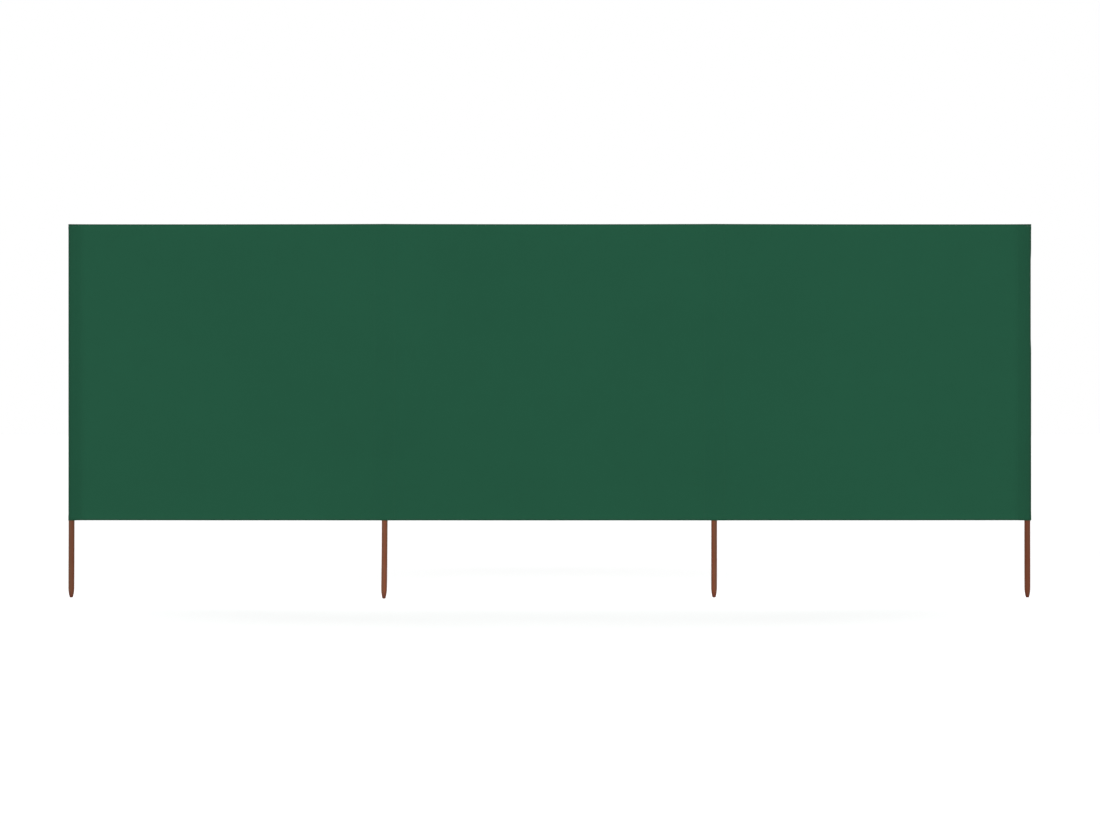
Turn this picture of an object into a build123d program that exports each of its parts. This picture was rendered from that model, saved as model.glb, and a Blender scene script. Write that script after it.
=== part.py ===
from build123d import *
import os
from math import acos, asin, atan2, cos, pi, sin, tan

# A beach windbreak of three bays: one long sheet of cloth on four pointed wooden poles.
# Sizes are in millimetres. The origin is the middle of the foot of pole 1, +X runs along the
# windbreak to pole 4, +Z is up, and the front of the cloth faces -Y.

# Poles
pole_diameter = 23.5
pole_length = 1500
point_length = 40
point_end_diameter = 12
point_edge_round = 3
top_edge_round = 1.5
# Pole 2 has slipped a little way down in its pocket.
pole_drops = (0, 4.5, 0, 0)

# Bays, from one pole's axis to the next
end_bay = 1269
middle_bay = 1335

# Cloth
cloth_height = 1200
cloth_thickness = 1.0
hem_height = 20

# Sleeves and pockets round the poles
pole_to_cloth_clearance = 0.3
pole_to_seam = 28
seam_allowance = 8
gathering_height = 8
closing_seam_height = 4

# Places worked out from the sizes above
pole_radius = pole_diameter / 2
pole_x = (0, end_bay, end_bay + middle_bay, end_bay + middle_bay + end_bay)
inner_radius = pole_radius + pole_to_cloth_clearance
outer_radius = inner_radius + cloth_thickness
seam_reach = inner_radius + pole_to_seam
sleeve_reach = seam_reach + seam_allowance
gathering_bottom = pole_length + pole_to_cloth_clearance
closing_bottom = gathering_bottom + gathering_height
cloth_top = closing_bottom + closing_seam_height
cloth_bottom = cloth_top - cloth_height


def upright(face, bottom, top):
    """A plan face on the ground plane, raised between two heights."""
    return Pos(0, 0, bottom) * extrude(face, top - bottom)


def wrap(start, end, centre, radius, turn):
    """Cloth pulled tight from start round a circle to end: a line, an arc and a line.

    turn is 1 where the arc runs anticlockwise in plan and -1 where it runs clockwise.
    """
    angles = []
    for point, way in ((start, turn), (end, -turn)):
        out = Vector(*point) - Vector(*centre)
        angles.append(atan2(out.Y, out.X) + way * acos(radius / out.length))
    first, last = angles
    if (last - first) * turn <= 0:
        last += turn * 2 * pi
    on_circle = [
        (centre[0] + radius * cos(angle), centre[1] + radius * sin(angle))
        for angle in (first, (first + last) / 2, last)
    ]
    return [Line(start, on_circle[0]), ThreePointArc(*on_circle), Line(on_circle[2], end)]


def make_pole(drop):
    """A turned wooden pole, with a long rounded point on its foot and a broken edge on top."""
    side = TangentArc((pole_radius, point_length), (point_end_diameter / 2, 0), tangent=(0, -1))
    rest = Polyline(
        (point_end_diameter / 2, 0),
        (0, 0),
        (0, pole_length),
        (pole_radius, pole_length),
        (pole_radius, point_length),
    )
    half = make_face([side, rest])
    foot_edge = half.vertices().group_by(Axis.Y)[0].sort_by(Axis.X)[-1]
    half = fillet(foot_edge, point_edge_round)
    top_edge = half.vertices().group_by(Axis.Y)[-1].sort_by(Axis.X)[-1]
    half = fillet(top_edge, top_edge_round)
    return Pos(0, 0, -drop) * revolve(Plane.XZ * half, Axis.Z)


def back_of_cloth(x):
    """The y of the sheet's back face.

    The sheet lies on the line of the pole axes at the end seams, and runs tight across the front of
    the middle poles.
    """
    slant_length = end_bay - 2 * sleeve_reach
    from_left = (x - sleeve_reach) / slant_length
    from_right = (pole_x[3] - sleeve_reach - x) / slant_length
    return -inner_radius * min(from_left, from_right, 1)


def flat_cloth(places, layers_behind, bottom, top):
    """Cloth that follows the sheet through some places along it, some layers behind the front one."""
    near = (layers_behind - 1) * cloth_thickness
    far = near + cloth_thickness
    front = [(x, back_of_cloth(x) + near) for x in places]
    back = [(x, back_of_cloth(x) + far) for x in reversed(places)]
    return upright(make_face(Polyline(*front, *back, close=True)), bottom, top)


def make_bay(number):
    """One bay of the sheet, from pole to pole, or from the end sleeve's edge."""
    left_pole = pole_x[number - 1]
    right_pole = pole_x[number]
    places = {
        1: (sleeve_reach, right_pole - sleeve_reach, right_pole),
        2: (left_pole, right_pole),
        3: (left_pole, left_pole + sleeve_reach, right_pole - sleeve_reach),
    }[number]
    return flat_cloth(places, 0, cloth_bottom, cloth_top)


def make_hem(number, bottom):
    """The edge of one bay turned back once behind the sheet, between the sleeves and pockets."""
    places = (pole_x[number - 1] + sleeve_reach, pole_x[number] - sleeve_reach)
    return flat_cloth(places, 1, bottom, bottom + hem_height)


def teardrop_outside(centre_x, radius, toward):
    """The outside of an end sleeve in plan, from the seam round a circle and back to the seam."""
    half_angle = asin(inner_radius / seam_reach)
    corner_x = toward * (seam_reach + cloth_thickness * tan(half_angle / 2))
    front = (corner_x, -cloth_thickness)
    back = (corner_x, cloth_thickness)
    path = wrap(back, front, (toward * centre_x, 0), radius, toward)
    return make_face([*path, Line(front, back)])


def teardrop_inside(centre_x, radius, toward):
    """The room inside an end sleeve in plan, which comes to an edge at the seam."""
    seam = (toward * seam_reach, 0)
    return make_face(wrap(seam, seam, (toward * centre_x, 0), radius, toward))


def seam_plies(toward):
    """The two plies of an end sleeve beyond its seam, lying flat on each other in plan."""
    length = sleeve_reach - seam_reach
    centre = toward * (seam_reach + length / 2)
    return Pos(centre, 0) * Rectangle(length, 2 * cloth_thickness)


def closed_tube(outside, inside, shut_outside, shut_inside, plies):
    """A tube of cloth up a pole, drawn in to a flat edge above the pole's top and sewn shut there."""
    at_pole_top = Pos(0, 0, gathering_bottom)
    at_closing = Pos(0, 0, closing_bottom)
    tube = upright(outside, cloth_bottom, gathering_bottom)
    tube += loft([at_pole_top * outside, at_closing * shut_outside], ruled=True)
    tube += upright(shut_outside, closing_bottom, cloth_top)
    tube += upright(plies, cloth_bottom, cloth_top)
    room = upright(inside, cloth_bottom, gathering_bottom)
    room += loft([at_pole_top * inside, at_closing * shut_inside], ruled=True)
    return tube - room


def make_end_sleeve(toward):
    """The end of the sheet brought round an end pole and sewn to itself. toward is the bay's side."""
    slit = pole_to_cloth_clearance
    return closed_tube(
        teardrop_outside(0, outer_radius, toward),
        teardrop_inside(0, inner_radius, toward),
        teardrop_outside(-inner_radius, cloth_thickness, toward),
        teardrop_inside(slit - inner_radius, slit, toward),
        seam_plies(toward),
    )


def pocket_outside(depth):
    """The outside of a pocket strip in plan, bowed to some depth behind the sheet."""
    corner_x = seam_reach + cloth_thickness * inner_radius / seam_reach
    strip_y = cloth_thickness - inner_radius
    centre = (0, depth - inner_radius - outer_radius)
    path = wrap((-corner_x, strip_y), (corner_x, strip_y), centre, outer_radius, -1)
    behind = [(corner_x, strip_y), (corner_x, -inner_radius), (-corner_x, -inner_radius)]
    return make_face([*path, Polyline(*behind, (-corner_x, strip_y))])


def pocket_inside(depth):
    """The room inside a pocket in plan, between the bowed strip and the back of the sheet."""
    seams = [(-seam_reach, -inner_radius), (seam_reach, -inner_radius)]
    path = wrap(*seams, (0, depth - 2 * inner_radius), inner_radius, -1)
    return make_face([*path, Line(*reversed(seams))])


def pocket_edges():
    """The two edges of a pocket strip beyond its seams, lying flat on the sheet in plan."""
    length = sleeve_reach - seam_reach
    edge = Rectangle(length, cloth_thickness)
    across = seam_reach + length / 2
    middle_y = cloth_thickness / 2 - inner_radius
    return Pos(-across, middle_y) * edge + Pos(across, middle_y) * edge


def make_pocket():
    """The strip sewn up the back of the sheet that holds a middle pole."""
    full_depth = 2 * inner_radius
    slit = pole_to_cloth_clearance
    return closed_tube(
        pocket_outside(full_depth + cloth_thickness),
        pocket_inside(full_depth),
        pocket_outside(slit + cloth_thickness),
        pocket_inside(slit),
        pocket_edges(),
    )


nodes = {}
for number, (x, drop) in enumerate(zip(pole_x, pole_drops), start=1):
    nodes[f"pole_{number}"] = Pos(x, 0, 0) * make_pole(drop)

for number in (1, 2, 3):
    nodes[f"cloth_bay_{number}"] = make_bay(number)
    nodes[f"top_hem_{number}"] = make_hem(number, cloth_top - hem_height)
    nodes[f"bottom_hem_{number}"] = make_hem(number, cloth_bottom)

for number, toward in ((1, 1), (4, -1)):
    nodes[f"end_sleeve_{number}"] = Pos(pole_x[number - 1], 0, 0) * make_end_sleeve(toward)

for number in (2, 3):
    nodes[f"pole_pocket_{number}"] = Pos(pole_x[number - 1], 0, 0) * make_pocket()

os.makedirs("parts", exist_ok=True)
for name, shape in nodes.items():
    export_step(shape, f"parts/{name}.step")
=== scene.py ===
"""The looks of a beach windbreak: cloth sewn from its flat cut, turned poles, thread and a studio.

Lengths are in metres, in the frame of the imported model. The origin is the middle of the foot of
pole 1, +X runs along the windbreak to pole 4, +Z is up, and the front of the cloth faces -Y.
"""
import logging
import math
from dataclasses import dataclass, field
from enum import Enum
from itertools import pairwise

import bpy
import numpy as np
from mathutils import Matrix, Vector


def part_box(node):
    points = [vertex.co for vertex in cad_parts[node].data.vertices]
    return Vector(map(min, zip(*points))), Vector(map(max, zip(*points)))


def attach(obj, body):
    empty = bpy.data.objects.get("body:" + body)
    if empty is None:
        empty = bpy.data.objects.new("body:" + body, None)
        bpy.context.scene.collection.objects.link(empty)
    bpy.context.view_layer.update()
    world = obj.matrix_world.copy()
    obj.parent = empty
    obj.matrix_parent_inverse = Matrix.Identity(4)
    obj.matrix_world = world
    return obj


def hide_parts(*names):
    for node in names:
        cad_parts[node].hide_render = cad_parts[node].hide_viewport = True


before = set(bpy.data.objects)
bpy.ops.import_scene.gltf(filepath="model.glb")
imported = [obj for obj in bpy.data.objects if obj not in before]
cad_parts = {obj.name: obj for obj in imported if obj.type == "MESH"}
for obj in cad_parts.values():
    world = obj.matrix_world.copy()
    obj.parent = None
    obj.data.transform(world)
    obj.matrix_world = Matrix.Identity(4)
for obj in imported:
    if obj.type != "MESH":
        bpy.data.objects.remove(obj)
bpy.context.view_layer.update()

log = logging.getLogger("windbreak")

MM = 0.001
BODY = "root"
POLES = (1, 2, 3, 4)
MIDDLE_POLES = (2, 3)
BAYS = (1, 2, 3)

# The photograph, which looks straight at the front
PHOTO_WIDTH = 1100
PHOTO_HEIGHT = 824
PHOTO_POLE_1_COLUMN = 71.57
PHOTO_CLOTH_TOP_ROW = 224.2
METRES_PER_PIXEL = 4.0525 * MM


class End(Enum):
    """An end of the sheet. The value is the number of the pole in its sleeve."""

    LEFT = 1
    RIGHT = 4


class Face(Enum):
    """A face of the cloth. The value is the way that it looks along the cloth's outward normal."""

    OUTER = 1
    INNER = -1


def smooth(value: np.ndarray) -> np.ndarray:
    """A soft step from 0 to 1 as the value goes from 0 to 1.

    Args:
        value: Any numbers, also outside 0 to 1.

    Returns:
        The step's height at each number.
    """
    held = np.clip(value, 0.0, 1.0)
    return held * held * (3.0 - 2.0 * held)


def fading(distance: np.ndarray, reach: float) -> np.ndarray:
    """1 at no distance, about a third at the reach, and soon nothing beyond it."""
    return np.exp(-((distance / reach) ** 2))


def unit(vectors: np.ndarray) -> np.ndarray:
    """The same vectors, each brought to a length of 1. One with no length stays as it is."""
    return vectors / np.maximum(np.linalg.norm(vectors, axis=-1, keepdims=True), 1e-12)


def travelled(points: np.ndarray) -> np.ndarray:
    """The distance along a line from its first point to each of its points."""
    steps = np.linalg.norm(np.diff(points, axis=0), axis=1)
    return np.concatenate([[0.0], np.cumsum(steps)])


def graded(
    start: float, end: float, fine: float, coarse: float, growth: float = 1.35
) -> np.ndarray:
    """Places between two ends, close together at the ends and wider apart in the middle.

    Args:
        start: The first place.
        end: The last place.
        fine: The step at both ends.
        coarse: The widest step.
        growth: How much wider each step is than the one before it.

    Returns:
        The places in order, both ends among them.
    """
    half = (end - start) / 2
    places = [0.0]
    step = fine
    while step < coarse and places[-1] + step < half:
        places.append(places[-1] + step)
        step *= growth
    count = max(1, round((half - places[-1]) / coarse))
    places.extend(np.linspace(places[-1], half, count + 1)[1:])
    near = np.array(places)
    return np.concatenate([start + near, end - near[-2::-1]])


def show_only(piece: bpy.types.Object) -> None:
    """Makes one object the only selected one, and the active one.

    Args:
        piece: The object to select.
    """
    bpy.ops.object.select_all(action="DESELECT")
    piece.select_set(True)
    bpy.context.view_layer.objects.active = piece


def finish_shape(piece: bpy.types.Object, smooth_angle: float) -> None:
    """Applies a piece's modifiers in order and smooths its faces.

    Args:
        piece: The piece, with its modifiers on it.
        smooth_angle: Edges that turn by more than this stay sharp, in degrees.
    """
    show_only(piece)
    for modifier in list(piece.modifiers):
        bpy.ops.object.modifier_apply(modifier=modifier.name)
    bpy.ops.object.shade_smooth_by_angle(angle=math.radians(smooth_angle))


def grid_mesh(name: str, places: np.ndarray) -> tuple[bpy.types.Object, np.ndarray]:
    """Makes a mesh with a face between each four neighbours in a grid.

    Args:
        name: The object's name.
        places: The grid's places, by column and row.

    Returns:
        The object, and the numbers of the points at the corners of each face.
    """
    index = np.arange(places[..., 0].size).reshape(places.shape[:2])
    corners = (index[:-1, :-1], index[1:, :-1], index[1:, 1:], index[:-1, 1:])
    faces = np.stack(corners, -1).reshape(-1, 4)
    mesh = bpy.data.meshes.new(name)
    mesh.from_pydata(places.reshape(-1, 3).tolist(), [], faces.tolist())
    piece = bpy.data.objects.new(name, mesh)
    bpy.context.scene.collection.objects.link(piece)
    return piece, faces


def report(piece: bpy.types.Object) -> None:
    """Logs a finished piece and its size in triangles."""
    triangles = sum(len(polygon.vertices) - 2 for polygon in piece.data.polygons)
    log.info("%s: %d triangles", piece.name, triangles)


@dataclass(frozen=True)
class Layout:
    """Where the frame puts the poles and the cloth.

    Attributes:
        pole_x: The axis of each pole.
        pole_radius: Half a pole's diameter.
        pole_foot: The height of each pole's foot.
        pole_head: The height of each pole's top.
        cloth_bottom: The height of the cloth's lower edge.
        cloth_top: The height of the cloth's upper edge.
        sleeve_reach: From an end pole's axis to the end of the cloth that wraps it.
        clearance: Between a pole and the cloth round it.
        seam_allowance: Cloth beyond the seam of a sleeve or pocket.
        hem: The height of the cloth turned back at the top and the bottom.
        closing_seam: From the cloth's top down to where the plies over a pole lie flat together.
    """

    pole_x: tuple[float, ...]
    pole_radius: float
    pole_foot: tuple[float, ...]
    pole_head: tuple[float, ...]
    cloth_bottom: float
    cloth_top: float
    sleeve_reach: float
    clearance: float = 0.3 * MM
    seam_allowance: float = 8 * MM
    hem: float = 20 * MM
    closing_seam: float = 4 * MM

    @classmethod
    def from_frame(cls) -> "Layout":
        """Reads the places from the boxes of the frame's nodes.

        Returns:
            The layout.
        """
        poles = [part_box(f"pole_{number}") for number in POLES]
        low, high = poles[0]
        cloth_low, cloth_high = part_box("cloth_bay_2")
        pole_x = tuple((low[0] + high[0]) / 2 for low, high in poles)
        return cls(
            pole_x=pole_x,
            pole_radius=(high[0] - low[0]) / 2,
            pole_foot=tuple(low[2] for low, _ in poles),
            pole_head=tuple(high[2] for _, high in poles),
            cloth_bottom=cloth_low[2],
            cloth_top=cloth_high[2],
            sleeve_reach=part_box("end_sleeve_1")[1][0] - pole_x[0],
        )

    @property
    def seam_reach(self) -> float:
        """From a pole's axis to the seams of its sleeve or pocket."""
        return self.sleeve_reach - self.seam_allowance

    @property
    def gathering_bottom(self) -> float:
        """The height where the cloth over the poles starts to draw in."""
        return self.pole_head[0] + self.clearance

    @property
    def gathering_top(self) -> float:
        """The height above which the plies over a pole lie flat together."""
        return self.cloth_top - self.closing_seam

    @property
    def closing_row(self) -> float:
        """The height of the stitches that shut the cloth over the poles."""
        return self.cloth_top - self.closing_seam / 2

    def from_pole(self, x: np.ndarray) -> np.ndarray:
        """How far each place along X is from the nearest pole's axis."""
        return np.min(np.abs(x[:, None] - np.array(self.pole_x)), 1)


@dataclass(frozen=True)
class ClothStock:
    """The cloth on the roll.

    Attributes:
        thickness: One ply.
        ply_pitch: From the middle of one ply to the middle of the next where they're sewn flat.
    """

    thickness: float = 0.38 * MM
    ply_pitch: float = 0.5 * MM


@dataclass(frozen=True)
class Shift:
    """How far the taut cloth moves from the flat, by place along X and by height.

    Attributes:
        x: The places along X.
        z: The heights.
        moves: The move at each place and height.
    """

    x: np.ndarray
    z: np.ndarray
    moves: np.ndarray

    @staticmethod
    def between(places: np.ndarray, stops: np.ndarray) -> tuple[np.ndarray, np.ndarray]:
        """Finds the two stops that each place lies between.

        Args:
            places: Any places.
            stops: Two or more places in order.

        Returns:
            The number of the stop before each place, and the share of the way to the next.
        """
        just_inside = len(stops) - 1.001
        found = np.clip(np.interp(places, stops, np.arange(len(stops))), 0, just_inside)
        before = found.astype(int)
        return before, (found - before)[..., None]

    def at(self, x: np.ndarray, z: np.ndarray) -> np.ndarray:
        """The move at any place, between the nearest four.

        Args:
            x: Places along X.
            z: Heights, as many as there are places.

        Returns:
            The moves, with one more axis than x.
        """
        column, right = self.between(x, self.x)
        row, up = self.between(z, self.z)
        low = (1 - right) * self.moves[column, row] + right * self.moves[column + 1, row]
        high = (1 - right) * self.moves[column, row + 1]
        high = high + right * self.moves[column + 1, row + 1]
        return (1 - up) * low + up * high


@dataclass(frozen=True)
class TautPanel:
    """The cloth stretched between the poles, as a simulation pulls it.

    Attributes:
        layout: Where the poles and the cloth are.
        spacing: The panel's grid.
        frames: The steps that the simulation runs for.
        stretch: The stiffness in line with the threads.
        shear: The stiffness across the threads.
        bending: The stiffness against folds.
        mass: The mass of each point.
        damping: How soon the threads' own movement dies down.
        air_damping: How soon the air stops the cloth.
        shrinking: The share by which the cloth is cut short of the poles.
        quality: The simulation's steps in each frame.
        gusts: The strength of the uneven air that keeps the cloth from lying dead flat.
        gust_size: The size of those gusts.
        gust_behind: How far behind the poles they start.
        gust_seed: What their unevenness starts from.
    """

    layout: Layout
    spacing: float = 24 * MM
    frames: int = 30
    stretch: float = 60.0
    shear: float = 30.0
    bending: float = 5.0
    mass: float = 0.10
    damping: float = 25.0
    air_damping: float = 2.0
    shrinking: float = 0.0008
    quality: int = 6
    gusts: float = 4.0
    gust_size: float = 1.2
    gust_behind: float = 0.3
    gust_seed: int = 3

    def grid(self) -> tuple[np.ndarray, np.ndarray]:
        """Lays out the panel's points.

        Returns:
            Their places along X, with one on each pole's axis, and their heights.
        """
        bays = pairwise(self.layout.pole_x)
        steps = [np.linspace(a, b, round((b - a) / self.spacing) + 1) for a, b in bays]
        rows = round((self.layout.cloth_top - self.layout.cloth_bottom) / self.spacing) + 1
        heights = np.linspace(self.layout.cloth_bottom, self.layout.cloth_top, rows)
        return np.unique(np.concatenate(steps)), heights

    def pull(self) -> Shift:
        """Runs the simulation.

        Returns: The move of each point of the grid.
        """
        x, z = self.grid()
        rest = np.zeros((len(x), len(z), 3))
        rest[..., 0] = x[:, None]
        rest[..., 2] = z
        panel = grid_mesh("taut_panel", rest)[0]
        held = np.zeros(rest.shape[:2], bool)
        held[self.layout.from_pole(x) < self.layout.pole_radius] = True
        on_poles = panel.vertex_groups.new(name="on_poles")
        on_poles.add(np.flatnonzero(held).tolist(), 1.0, "ADD")
        self.stiffen(panel, on_poles.name)
        air = self.blow(((x[0] + x[-1]) / 2, self.gust_behind, (z[0] + z[-1]) / 2))
        for step in range(1, self.frames + 1):
            bpy.context.scene.frame_set(step)
        pulled = panel.evaluated_get(bpy.context.evaluated_depsgraph_get())
        places = np.zeros(rest.size, np.float32)
        pulled.data.vertices.foreach_get("co", places)
        moves = places.reshape(rest.shape) - rest
        for helper in (air, panel):
            bpy.data.objects.remove(helper)
        bpy.context.scene.frame_set(1)
        log.info("taut cloth: moves by up to %s mm", np.abs(moves / MM).max((0, 1)).round(2))
        return Shift(x, z, moves)

    def blow(self, middle: tuple[float, float, float]) -> bpy.types.Object:
        """Adds the uneven air.

        Args:
            middle: Where it blows from.

        Returns:
            The air, as an object with a force field.
        """
        bpy.ops.object.effector_add(type="TURBULENCE", location=middle)
        air = bpy.context.object
        air.field.strength = self.gusts
        air.field.size = self.gust_size
        air.field.noise = 0.0
        air.field.seed = self.gust_seed
        air.field.flow = 0.0
        return air

    def stiffen(self, panel: bpy.types.Object, on_poles: str) -> None:
        """Gives the panel its cloth modifier.

        Args:
            panel: The panel.
            on_poles: The name of the vertex group of the points that the poles hold.
        """
        cloth = panel.modifiers.new("cloth", "CLOTH")
        settings = cloth.settings
        settings.quality = self.quality
        settings.mass = self.mass
        settings.tension_stiffness = self.stretch
        settings.compression_stiffness = self.stretch
        settings.shear_stiffness = self.shear
        settings.bending_stiffness = self.bending
        settings.tension_damping = self.damping
        settings.compression_damping = self.damping
        settings.shear_damping = self.damping
        settings.air_damping = self.air_damping
        settings.vertex_group_mass = on_poles
        settings.shrink_min = self.shrinking
        cloth.collision_settings.use_collision = False
        cloth.point_cache.frame_start = 1
        cloth.point_cache.frame_end = self.frames


def outward(points: np.ndarray) -> np.ndarray:
    """The way that the outside of the cloth faces along a line in plan.

    Args:
        points: The line's points, walked with the outside on the right hand.

    Returns:
        A unit vector in plan for each point.
    """
    ways = unit(np.gradient(points, axis=0))
    return np.stack([ways[:, 1], -ways[:, 0]], 1)


@dataclass(frozen=True)
class PlanPath:
    """A line in plan that a cut of cloth follows from one of its side edges to the other.

    Attributes:
        open_points: The line round the poles.
        shut_points: The line where the cloth is drawn in flat over the poles.
        lift: How far the hems below it push the outer ply outwards.
        loose: How far the outer ply moves where it hangs loose.
        seam_gap: The distance along the cloth to the nearest upright seam.
        shade: The painted shade over and beside the poles, as a share of the cloth's colour.
        along: The distance along the cloth of each point.
        open_out: The outward directions of the line round the poles.
        shut_out: The outward directions of the line drawn in flat.
    """

    open_points: np.ndarray
    shut_points: np.ndarray
    lift: np.ndarray
    loose: np.ndarray
    seam_gap: np.ndarray
    shade: np.ndarray
    along: np.ndarray = field(init=False)
    open_out: np.ndarray = field(init=False)
    shut_out: np.ndarray = field(init=False)

    def __post_init__(self) -> None:
        """Works out the distances along the cloth and the outward directions."""
        object.__setattr__(self, "along", travelled(self.open_points))
        object.__setattr__(self, "open_out", outward(self.open_points))
        object.__setattr__(self, "shut_out", outward(self.shut_points))

    def read(self, along: np.ndarray, values: np.ndarray) -> np.ndarray:
        """Values between the path's points.

        Args:
            along: Distances along the cloth.
            values: A number or a vector for each point of the path.

        Returns:
            The value at each distance.
        """
        if values.ndim == 1:
            return np.interp(along, self.along, values)
        return np.stack([np.interp(along, self.along, part) for part in values.T], -1)

    def at(self, along: np.ndarray, shut: np.ndarray) -> tuple[np.ndarray, np.ndarray]:
        """Points of the cloth in plan.

        Args:
            along: Distances along the cloth.
            shut: 0 where the cloth goes round the pole, to 1 where it's drawn in flat.

        Returns:
            The points, and the outward directions there.
        """
        part = np.asarray(shut)[..., None]
        point = (1 - part) * self.read(along, self.open_points)
        point = point + part * self.read(along, self.shut_points)
        out = (1 - part) * self.read(along, self.open_out) + part * self.read(along, self.shut_out)
        return point, unit(out)


@dataclass(frozen=True)
class Tube:
    """The plan of the cloth that wraps one pole, centred on the pole, from seam to seam.

    Attributes:
        seam_x: The place of the seams from the pole's axis, to either side of it.
        seam_y: The place of the cloth's middle at the seams.
        radius: The middle of the cloth round the pole.
        step: The spacing of the points on the straight stretches.
        arc_points: The points of the arc about the pole, to each side of its middle.
        crowding: How much closer together they are at its middle, as a power.
        edge_points: The points of the cloth beyond a seam.
        gather_height: How far a gather stands out where the cloth is drawn in.
        gather_width: The width of a gather.
    """

    seam_x: float
    seam_y: float
    radius: float
    step: float = 1.7 * MM
    arc_points: int = 12
    crowding: float = 1.5
    edge_points: int = 3
    gather_height: float = 1.4 * MM
    gather_width: float = 14 * MM

    def round_pole(self, first: float, last: float) -> np.ndarray:
        """Points of an arc about the pole, closest together at its middle.

        Args:
            first: The angle where the arc starts, in radians.
            last: The angle where it ends.

        Returns:
            The points in plan.
        """
        share = np.linspace(-1, 1, 2 * self.arc_points + 1)
        swing = (last - first) / 2 * np.sign(share) * np.abs(share) ** self.crowding
        angle = (first + last) / 2 + swing
        return self.radius * np.stack([np.cos(angle), np.sin(angle)], 1)

    def touch(self, seam: tuple[float, float], turn: int) -> float:
        """The angle on the pole where tight cloth from a seam first touches it.

        Args:
            seam: The seam's place in plan.
            turn: 1 to touch it anticlockwise of the seam, -1 clockwise.

        Returns:
            The angle, in radians.
        """
        away = math.acos(self.radius / math.hypot(*seam))
        return math.atan2(seam[1], seam[0]) + turn * away

    def straight(self, start: np.ndarray, end: np.ndarray) -> np.ndarray:
        """Points from start to end, both among them, about a step apart."""
        count = round(float(np.linalg.norm(end - start)) / self.step)
        return start + np.linspace(0, 1, count + 1)[:, None] * (end - start)

    def wrap(self, start: tuple[float, float], end: tuple[float, float]) -> np.ndarray:
        """Cloth pulled tight from one seam anticlockwise round the pole to another.

        Args:
            start: The first seam in plan.
            end: The last seam in plan.

        Returns:
            The points in plan.
        """
        first = self.touch(start, 1)
        last = self.touch(end, -1)
        if last < first:
            last += 2 * math.pi
        arc = self.round_pole(first, last)
        there = self.straight(np.array(start), arc[0])
        back = self.straight(arc[-1], np.array(end))
        return np.concatenate([there[:-1], arc, back[1:]])

    def past_seam(self, reach: float) -> np.ndarray:
        """The cloth beyond the seam, from its cut edge in, without the seam itself.

        Args:
            reach: From the pole's axis to the cut edge.

        Returns:
            The points in plan.
        """
        x = np.linspace(reach, self.seam_x, self.edge_points + 1)[:-1]
        return np.stack([x, x * 0 + self.seam_y], 1)

    def gathers(self, from_edge: np.ndarray, length: float) -> np.ndarray:
        """The height of the gathers over a stretch of cloth that is flat at both ends.

        Args:
            from_edge: Distances along the stretch.
            length: The length of the stretch.

        Returns:
            How far the cloth stands out, to either side.
        """
        fade = smooth(from_edge / self.gather_width) * smooth((length - from_edge) / self.gather_width)
        phase = 2 * math.pi * from_edge / self.gather_width
        # Two slower waves keep the gathers from being alike in height and width
        uneven = 1 + 0.3 * np.sin(0.37 * phase + 1.0)
        lag = 0.4 * np.sin(0.61 * phase)
        return self.gather_height * fade * uneven * np.sin(phase + lag)


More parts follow.
